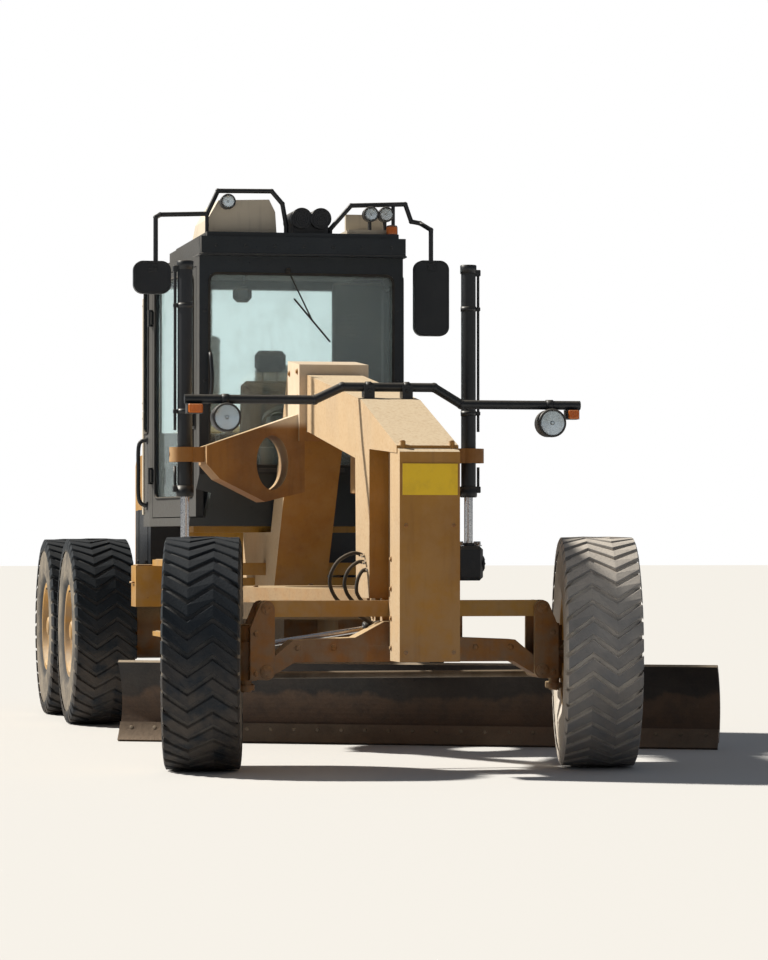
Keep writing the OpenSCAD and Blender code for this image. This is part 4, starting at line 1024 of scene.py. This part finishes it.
def axle_hardware():
    for side, name in ((1, "left"), (-1, "right")):
        b = Build()
        for z, r in ((LEAN_Z, 0.036), (LEAN_BAR_Z, 0.03)):
            b.cap((side * LEAN_X, -0.122, z), -Y, r, 0.005)
            b.cap((side * LEAN_X, 0.122, z), Y, r, 0.005)
        b.bolts([side * (LEAN_X + 0.06)], [-0.12], (0.59, 0.81), -Y, 0.011, 0.01)
        b.done("lean carrier caps " + name, "ochre", "lean_carrier_" + name)
        place = wheel_place(side * FRONT_X, 0.0, STEER)
        # drawn in the wheel's frame
        b = Build(place)
        king = KING_X - FRONT_X
        b.cap((king, 0, 0.15), Z, 0.03, 0.01)
        b.cap((king, 0, -0.204), -Z, 0.03, 0.01)
        b.lathe((king + 0.139, 0, 0), X, [(0, 0.074), (0.01, 0.074), (0.014, 0.068), (0.014, 0.06)],
            30)
        for p in around(8, (king + 0.139, 0, 0), 0.067):
            b.bolt(p, -X, 0.005, 0.006)
        b.done("king pin caps " + name, "ochre", "knuckle_" + name)
        b = Build(place)
        b.lathe((king, 0.25, -0.094), Z, [(0, 0.014), (0, 0.0165), (0.014, 0.0165), (0.016, 0.012),
            (0.016, 0)], 6)
        b.done("tie rod nut " + name, "cast", "knuckle_" + name)
    b = Build()
    for px in (-0.16, 0.16):
        b.box((px - 0.05, -0.0905, 0.66), (px + 0.05, -0.088, 0.74), 0.001)
    b.bolts((-0.6, -0.4, 0.4, 0.6), [-0.09], [0.73], -Y, 0.012, 0.01)
    b.cap((0.33, 0.243, 0.9), Y, 0.024, 0.008)
    b.done("axle bolts", "ochre", FRONT)


def cylinder_hardware():
    for side, name in ((1, "left"), (-1, "right")):
        mirrored = Matrix.Diagonal((side, 1, 1, 1))
        b = Build(mirrored)
        x, y = LIFT_X, LIFT_Y
        b.lathe((x, y, 1.6), -Z, [(-0.06, 0.046), (-0.06, 0.054), (0.0, 0.054), (0.008, 0.049),
            (0.008, 0.029)], 32)
        b.lathe((x, y, 3.04), -Z, [(0.0005, 0.0), (0.0005, 0.047), (0.004, 0.051), (0.055, 0.051),
            (0.055, 0.046)], 32)
        # oil pipe along the barrel with its two blocks
        b.box((x + 0.03, y - 0.02, 2.97), (x + 0.075, y + 0.02, 3.01), 0.004)
        b.box((x + 0.03, y - 0.02, 1.62), (x + 0.075, y + 0.02, 1.66), 0.004)
        b.pipe([(x + 0.062, y, 2.99), (x + 0.062, y, 2.9), (x + 0.062, y, 2.3),
            (x + 0.062, y, 2.0)], 0.009)
        b.tube([(x + 0.062, y, 1.64), (x + 0.062, y, 1.78)], 0.009)
        for h in (2.1, 2.75):
            b.collar((x, y, h), Z, 0.0465, 0.049, 0.03)
            b.box((x + 0.046, y - 0.014, h + 0.003), (x + 0.074, y + 0.014, h + 0.027), 0.003)
        b.done("lift cylinder trim " + name, "black", "lift_cylinder_" + name)
        b = Build(mirrored)
        b.lathe((x, y, 1.31), -Z, [(0, 0.0275), (0, 0.036), (0.01, 0.04), (0.06, 0.046),
            (0.062, 0.03)], 28)
        b.box((x - 0.083, y - 0.065, 1.075), (x + 0.083, y + 0.065, 1.29), 0.022)
        b.cap((x + 0.083, y, STUD_Z), X, 0.05, 0.012, 6)
        b.done("lift rod socket " + name, "black", "lift_rod_" + name)
        b = Build(mirrored)
        b.bolts((x - 0.055, x + 0.055), (y - 0.04, y + 0.04), [1.289], Z, 0.014, 0.03)
        b.done("lift rod bolts " + name, "chrome", "lift_rod_" + name)
    base, eye = Vector((0.33, 0.2, 0.9)), Vector((-0.7575, 0.2, 0.74))
    run = (eye - base).normalized()
    b = Build()
    neck = base.lerp(eye, 0.46)
    b.lathe(neck, run, [(-0.05, 0.034), (-0.05, 0.04), (0.0, 0.04), (0.006, 0.036),
        (0.006, 0.0185)], 28)
    for share in (0.1, 0.4):
        p = base.lerp(eye, share)
        b.box((p.x - 0.02, p.y - 0.05, p.z - 0.015), (p.x + 0.02, p.y - 0.03, p.z + 0.015), 0.003)
    b.done("lean cylinder trim", "black", "lean_cylinder")
    b = Build(CIRCLE_TURN)
    b.lathe((0.46, 2.64, 0.4), X, [(-0.04, 0.036), (-0.04, 0.0385), (0.0, 0.0385), (0.006, 0.037),
        (0.006, 0.0235)], 28)
    b.lathe((-0.88, 2.64, 0.4), -X, [(-0.04, 0.036), (-0.04, 0.0385), (0.002, 0.0385),
        (0.006, 0.036), (0.006, 0)], 28)
    b.done("shift cylinder trim", "black", "blade_bracket")


def hoses():
    """Free hoses from the frame's leg to the lean cylinder and the axle, held at both ends."""
    # each: its name, its points
    routes = [("lean hose top", [(-0.168, 0.2, 1.235), (-0.24, 0.185, 1.25), (-0.33, 0.17, 1.2),
        (-0.375, 0.165, 1.1), (-0.34, 0.165, 1.0), (-0.25, 0.165, 0.93), (-0.16, 0.16, 0.87),
        (-0.105, 0.155, 0.845)]), ("lean hose middle", [(-0.168, 0.16, 1.2), (-0.22, 0.14, 1.2),
        (-0.28, 0.12, 1.15), (-0.3, 0.115, 1.07), (-0.26, 0.115, 0.99), (-0.17, 0.115, 0.94),
        (0.05, 0.115, 0.93), (0.19, 0.13, 0.9), (0.22, 0.15, 0.89)]),
        ("steering hose", [(-0.168, 0.12, 1.16), (-0.205, 0.09, 1.15), (-0.235, 0.07, 1.1),
        (-0.24, 0.065, 1.03), (-0.2, 0.075, 0.97), (-0.175, 0.1, 0.93)]),]
    for name, points in routes:
        b = Build()
        b.tube(smooth_path(points, 8), 0.0105, 12)
        hose = b.done(name, "rubber", FRONT)
        ends = Build()
        for p, q in ((points[0], points[1]), (points[-1], points[-2])):
            d = (Vector(q) - Vector(p)).normalized()
            ends.lathe(p, d, [(-0.004, 0), (-0.004, 0.014), (0.02, 0.014), (0.02, 0.012),
                (0.034, 0.012), (0.034, 0.0106)], 6)
        fittings = ends.done(name + " fittings", "chrome", FRONT)


# ---------------------------------------------------------------- circle and blade
def blade_hardware():
    def on_curve(r, degrees):
        a = radians(degrees)
        return Vector((0, BLADE_Y - CURVE_R + r * cos(a), BLADE_Z + r * sin(a)))

    heads, nuts = Build(CIRCLE_TURN), Build(CIRCLE_TURN)
    pitch = 0.153
    count = int(BLADE_LEN / pitch)
    for k in range(count):
        x = BLADE_SHIFT - BLADE_LEN / 2 + 0.08 + k * pitch
        front = on_curve(CURVE_R - 0.02, -23) + Vector((x, 0, 0))
        inward = (on_curve(0, 0) - on_curve(1, -23)).normalized()
        heads.lathe(front - inward * 0.001, inward, [(0, 0.013), (0.003, 0.012), (0.004, 0.008),
            (0.0035, 0)], 16)
        back = on_curve(CURVE_R, -23) + Vector((x, 0, 0))
        nuts.bolt(back, -inward, 0.012, 0.02)
    heads.done("edge bolt heads", "cast", "blade")
    nuts.done("edge bolt nuts", "cast", "blade")
    # bolts of the guides that the blade slides in
    b = Build(CIRCLE_TURN)
    b.bolts((-0.43, -0.37, 0.37, 0.43), [2.634], [0.49], Y, 0.008, 0.008)
    b.done("bracket bolts", "cast", "blade_bracket")
    # bolts on the drawbar, and a ring round each lift stud
    b = Build()
    for k in range(6):
        a = radians(30 + 60 * k)
        c = Vector((0.66 * cos(a), CIRCLE_Y + 0.66 * sin(a), 0))
        b.bolt((c.x * 0.86, CIRCLE_Y + (c.y - CIRCLE_Y) * 0.86, 1.04), Z, 0.014, 0.012)
    for side in (-1, 1):
        b.bolt((side * 0.76, LIFT_Y - 0.06, 1.13), -Y, 0.014, 0.012)
        b.lathe((side * 0.792, LIFT_Y, STUD_Z), X * side,
            [(0, 0.046), (0.008, 0.046), (0.01, 0.036)], 24)
    b.done("drawbar bolts", "ochre", "drawbar")
    b = Build(CIRCLE_TURN)
    for side in (-1, 1):
        b.cap((side * 0.532, 2.74, 0.34), X * side, 0.036, 0.01)
    b.side_bolts(0.51, (2.28, 2.5, 2.72), [0.82], 0.013, 0.012)
    b.done("blade arm bolts", "circle", "circle_ring_body")


# ---------------------------------------------------------------- engine side, cab steps
def turns(count, x, y):
    """Turns about an upright axis."""
    for k in range(count):
        yield Matrix.Translation((x, y, 0)) @ Matrix.Rotation(2 * pi * k / count, 4, "Z")


def engine_hardware():
    b = Build()
    # clamps and seams of the silencer, and the intake's lid
    for z in (2.205, 2.3, 2.66, 2.745):
        b.lathe((STACK_X, STACK_Y, z), Z, [(-0.008, 0.109), (-0.006, 0.114), (0.006, 0.114),
            (0.008, 0.109)], 40)
    b.lathe((STACK_X, STACK_Y, 2.76), Z, [(0.001, 0.109), (0.012, 0.1), (0.022, 0.075),
        (0.026, 0.056)], 40)
    b.lathe((STACK_X, STACK_Y, 2.2), Z, [(-0.026, 0.059), (-0.022, 0.075), (-0.012, 0.1),
        (-0.001, 0.109)], 40)
    b.lathe((STACK_X, STACK_Y, 3.235), Z, [(0, 0.0555), (0.004, 0.058), (0.02, 0.058),
        (0.024, 0.0555)], 32)
    b.done("silencer seams", "exhaust", REAR)
    b = Build()
    b.lathe((INTAKE_X, INTAKE_Y, 2.519), Z, [(0.0, 0.151), (0.008, 0.154), (0.02, 0.15),
        (0.05, 0.115), (0.062, 0.05), (0.064, 0)], 40)
    for z in (2.36, 2.46):
        b.lathe((INTAKE_X, INTAKE_Y, z), Z, [(0, 0.1505), (0.003, 0.154), (0.022, 0.154),
            (0.025, 0.1505)], 40)
    for turn in turns(16, INTAKE_X, INTAKE_Y):
        b.box((0.148, -0.006, 2.4), (0.153, 0.006, 2.45), 0.0015, turn)
    b.done("air cleaner trim", "plastic", REAR)
    b = Build()
    for side in (-1, 1):
        # cap of the tank, and its straps
        b.lathe((side * 0.62, 5.2, 1.585), Z, [(0, 0.046), (0.002, 0.053), (0.022, 0.053),
            (0.026, 0.048), (0.026, 0)], 24)
        for turn in turns(12, side * 0.62, 5.2):
            b.box((0.051, -0.005, 1.588), (0.056, 0.005, 1.606), 0.0015, turn)
        for y in (5.22, 5.7):
            b.box((side * TANK_X - 0.133, y - 0.025, 1.539),
                (side * TANK_X + 0.133, y + 0.025, 1.544), 0.0015)
            b.box((side * 0.7315 - 0.002, y - 0.025, 1.15),
                (side * 0.7315 + 0.002, y + 0.025, 1.543), 0.001)
            b.bolt((side * 0.733, y, 1.18), X * side, 0.01, 0.008)
    b.done("tank straps and caps", "black", REAR)
    for side, name in ((1, "left"), (-1, "right")):
        b = Build()
        for y in (6.0, 7.42):
            b.lathe((side * HOOD_X, y, 1.8), X * side, [(0, 0.022), (0.005, 0.022), (0.007, 0.018),
                (0.005, 0.012), (0.005, 0)], 20)
        b.bolts([side * HOOD_X], [6.06 + 0.27 * k for k in range(6)], [1.396], X * side, 0.007,
            0.005)
        b.done("hood door fasteners " + name, "black", "hood_door_" + name)
        b = Build()
        b.bolts([side * HOOD_X], (5.12, 5.4, 5.68), (1.7, 1.98), X * side, 0.008, 0.006)
        b.bolts([side * HOOD_X], [5.95 + 0.23 * k for k in range(8)], [1.2], X * side, 0.008, 0.006)
        b.done("hood bolts " + name, "ochre", REAR)
    # seam across the hood and the radiator's cap
    b = Build()
    slope = atan((HOOD_Z1 - HOOD_Z2) / (HOOD_Y1 - HOOD_Y0 - 0.1))

    def hood_top(y):
        return HOOD_Z1 - (y - HOOD_Y0 - 0.04) * tan(slope)

    for y in (5.9, 7.5):
        b.tube([(-HOOD_X + 0.01, y, hood_top(y)), (HOOD_X - 0.01, y, hood_top(y))], 0.004, 8)
    b.lathe((0, 7.3, hood_top(7.3)), Z, [(-0.01, 0.05), (0.012, 0.05), (0.014, 0.044),
        (0.026, 0.042), (0.03, 0.036), (0.03, 0)], 28)
    b.done("hood seams and cap", "black", REAR)
    b = Build()
    b.bolts((-0.44, 0.44), [HOOD_Y1 + 0.06], (1.22, 1.5, 1.78), Y, 0.009, 0.006)
    b.box((-0.44, HOOD_Y1 + 0.06, 1.45), (-0.4, HOOD_Y1 + 0.085, 1.6), 0.006)
    b.done("grille bolts and latch", "black", "rear_grille")
    b = Build()
    for px in (-0.72, -0.36, 0.0, 0.36, 0.72):
        for h in (0.82, 1.06):
            b.lathe((px, 8.0585, h), Y, [(-0.02, 0.016), (0.0, 0.016), (0.0012, 0.012),
                (0.0012, 0)], 18)
    b.side_bolts(0.4, (5.1, 5.3, 7.2, 7.6), [0.98], 0.014, 0.012)
    b.done("rear frame bolts", "ochre", REAR)
    # covers of the tandem cases and filler plugs
    for side in (-1, 1):
        b = Build()
        face = REAR_X - TYRE_W / 2 - 0.05
        for y in REAR_AXLES:
            for p in around(10, (side * face, y, AXLE_Z), 0.15):
                b.bolt(p, X * side, 0.01, 0.009)
        b.knob((side * face, TANDEM_Y, AXLE_Z + 0.02), X * side, 0.09, 0.008, 0.084, 0.012, 36)
        for p in around(6, (side * (face + 0.012), TANDEM_Y, AXLE_Z + 0.02), 0.072):
            b.bolt(p, X * side, 0.007, 0.006)
        b.bolt((side * face, TANDEM_Y, AXLE_Z - 0.13), X * side, 0.014, 0.014)
        b.done("tandem covers", "ochre", REAR)


def step_treads():
    b = Build()
    for side in (-1, 1):
        # tread plates: both ends along y, height
        for y0, y1, z in ((3.49, 3.98, 1.2), (3.49, 3.97, 0.73)):
            for k in range(STUD_ROWS):
                y = y0 + 0.02 + k * (y1 - y0 - 0.04) / (STUD_ROWS - 1)
                for x in (0.767, 0.8, 0.833):
                    b.lathe((side * x, y, z), Z, [(0, 0.011), (0.004, 0.0095), (0.0045, 0.006),
                        (0.003, 0)], 10)
    b.side_bolts(0.77, (3.495, 3.965), (0.8, 1.1), 0.009, 0.008)
    b.done("step studs", "ochre", FRONT)
    b = Build()
    for side in (-1, 1):
        # lid and handle of the tool box
        b.box((side * 0.85 - 0.11, 4.0, 1.16), (side * 0.85 + 0.11, 4.22, 1.168), 0.003)
        b.pipe([(side * 0.97, 4.06, 1.05), (side * 0.985, 4.06, 1.05), (side * 0.987, 4.11, 1.05),
            (side * 0.985, 4.16, 1.05), (side * 0.97, 4.16, 1.05)], 0.006)
    b.done("box lids", "ochre", FRONT)


wheels()
lamps()
mirrors()
cab_trim()
cab_inside()
seat()
front_hardware()
axle_hardware()
cylinder_hardware()
hoses()
blade_hardware()
engine_hardware()
step_treads()


# ---------------------------------------------------------------- floor, light and camera
def lit_stage():
    bpy.ops.mesh.primitive_plane_add(size=400)
    floor = bpy.context.object
    floor.name = "floor"
    m, nt, bsdf = new_mat("floor")
    put(bsdf, Base_Color=(0.66, 0.655, 0.645, 1), Roughness=0.95, Specular_IOR_Level=0.1)
    floor.data.materials.append(m)
    w = bpy.data.worlds.new("sky")
    bpy.context.scene.world = w
    w.use_nodes = True
    nt = w.node_tree
    nt.nodes.clear()
    out = nt.nodes.new("ShaderNodeOutputWorld")
    lit = nt.nodes.new("ShaderNodeBackground")
    put(lit, Color=(0.72, 0.78, 0.88, 1), Strength=0.2)
    white = nt.nodes.new("ShaderNodeBackground")
    put(white, Color=(1, 1, 1, 1), Strength=1.0)
    ray = nt.nodes.new("ShaderNodeLightPath")
    mx = nt.nodes.new("ShaderNodeMixShader")
    seen = calc(nt, "MAXIMUM", ray.outputs["Is Camera Ray"], ray.outputs["Is Transmission Ray"])
    link(seen, mx.inputs[0])
    link(lit.outputs[0], mx.inputs[1])
    link(white.outputs[0], mx.inputs[2])
    link(mx.outputs[0], out.inputs[0])
    sun = bpy.data.lights.new("sun", "SUN")
    sun.energy = 6.0
    sun.angle = radians(3.0)
    sun.color = (1.0, 0.95, 0.86)
    so = bpy.data.objects.new("sun", sun)
    bpy.context.collection.objects.link(so)
    to_sun = Vector((-0.72, 0.42, 0.75))
    so.rotation_mode = "QUATERNION"
    so.rotation_quaternion = to_sun.to_track_quat("Z", "Y")


lit_stage()

# the camera stands 9 degrees to the machine's right; where it aims puts the machine in the
# picture as in the photo
PSI, ASIDE, RISE = radians(9.0), 0.0399, 0.01835
cam_data = bpy.data.cameras.new("camera")
cam = bpy.data.objects.new("camera", cam_data)
bpy.context.collection.objects.link(cam)
bpy.context.scene.camera = cam
cam_data.sensor_width = 36.0
cam_data.lens = 135.0
cam_data.clip_end = 500.0
cam.location = at(-4.01, -19.6, 1.29)
aim = Vector((sin(PSI) + ASIDE * cos(PSI), cos(PSI) - ASIDE * sin(PSI), RISE))
cam.rotation_mode = "QUATERNION"
cam.rotation_quaternion = aim.to_track_quat("-Z", "Y")

scene = bpy.context.scene
scene.view_settings.view_transform = "Standard"
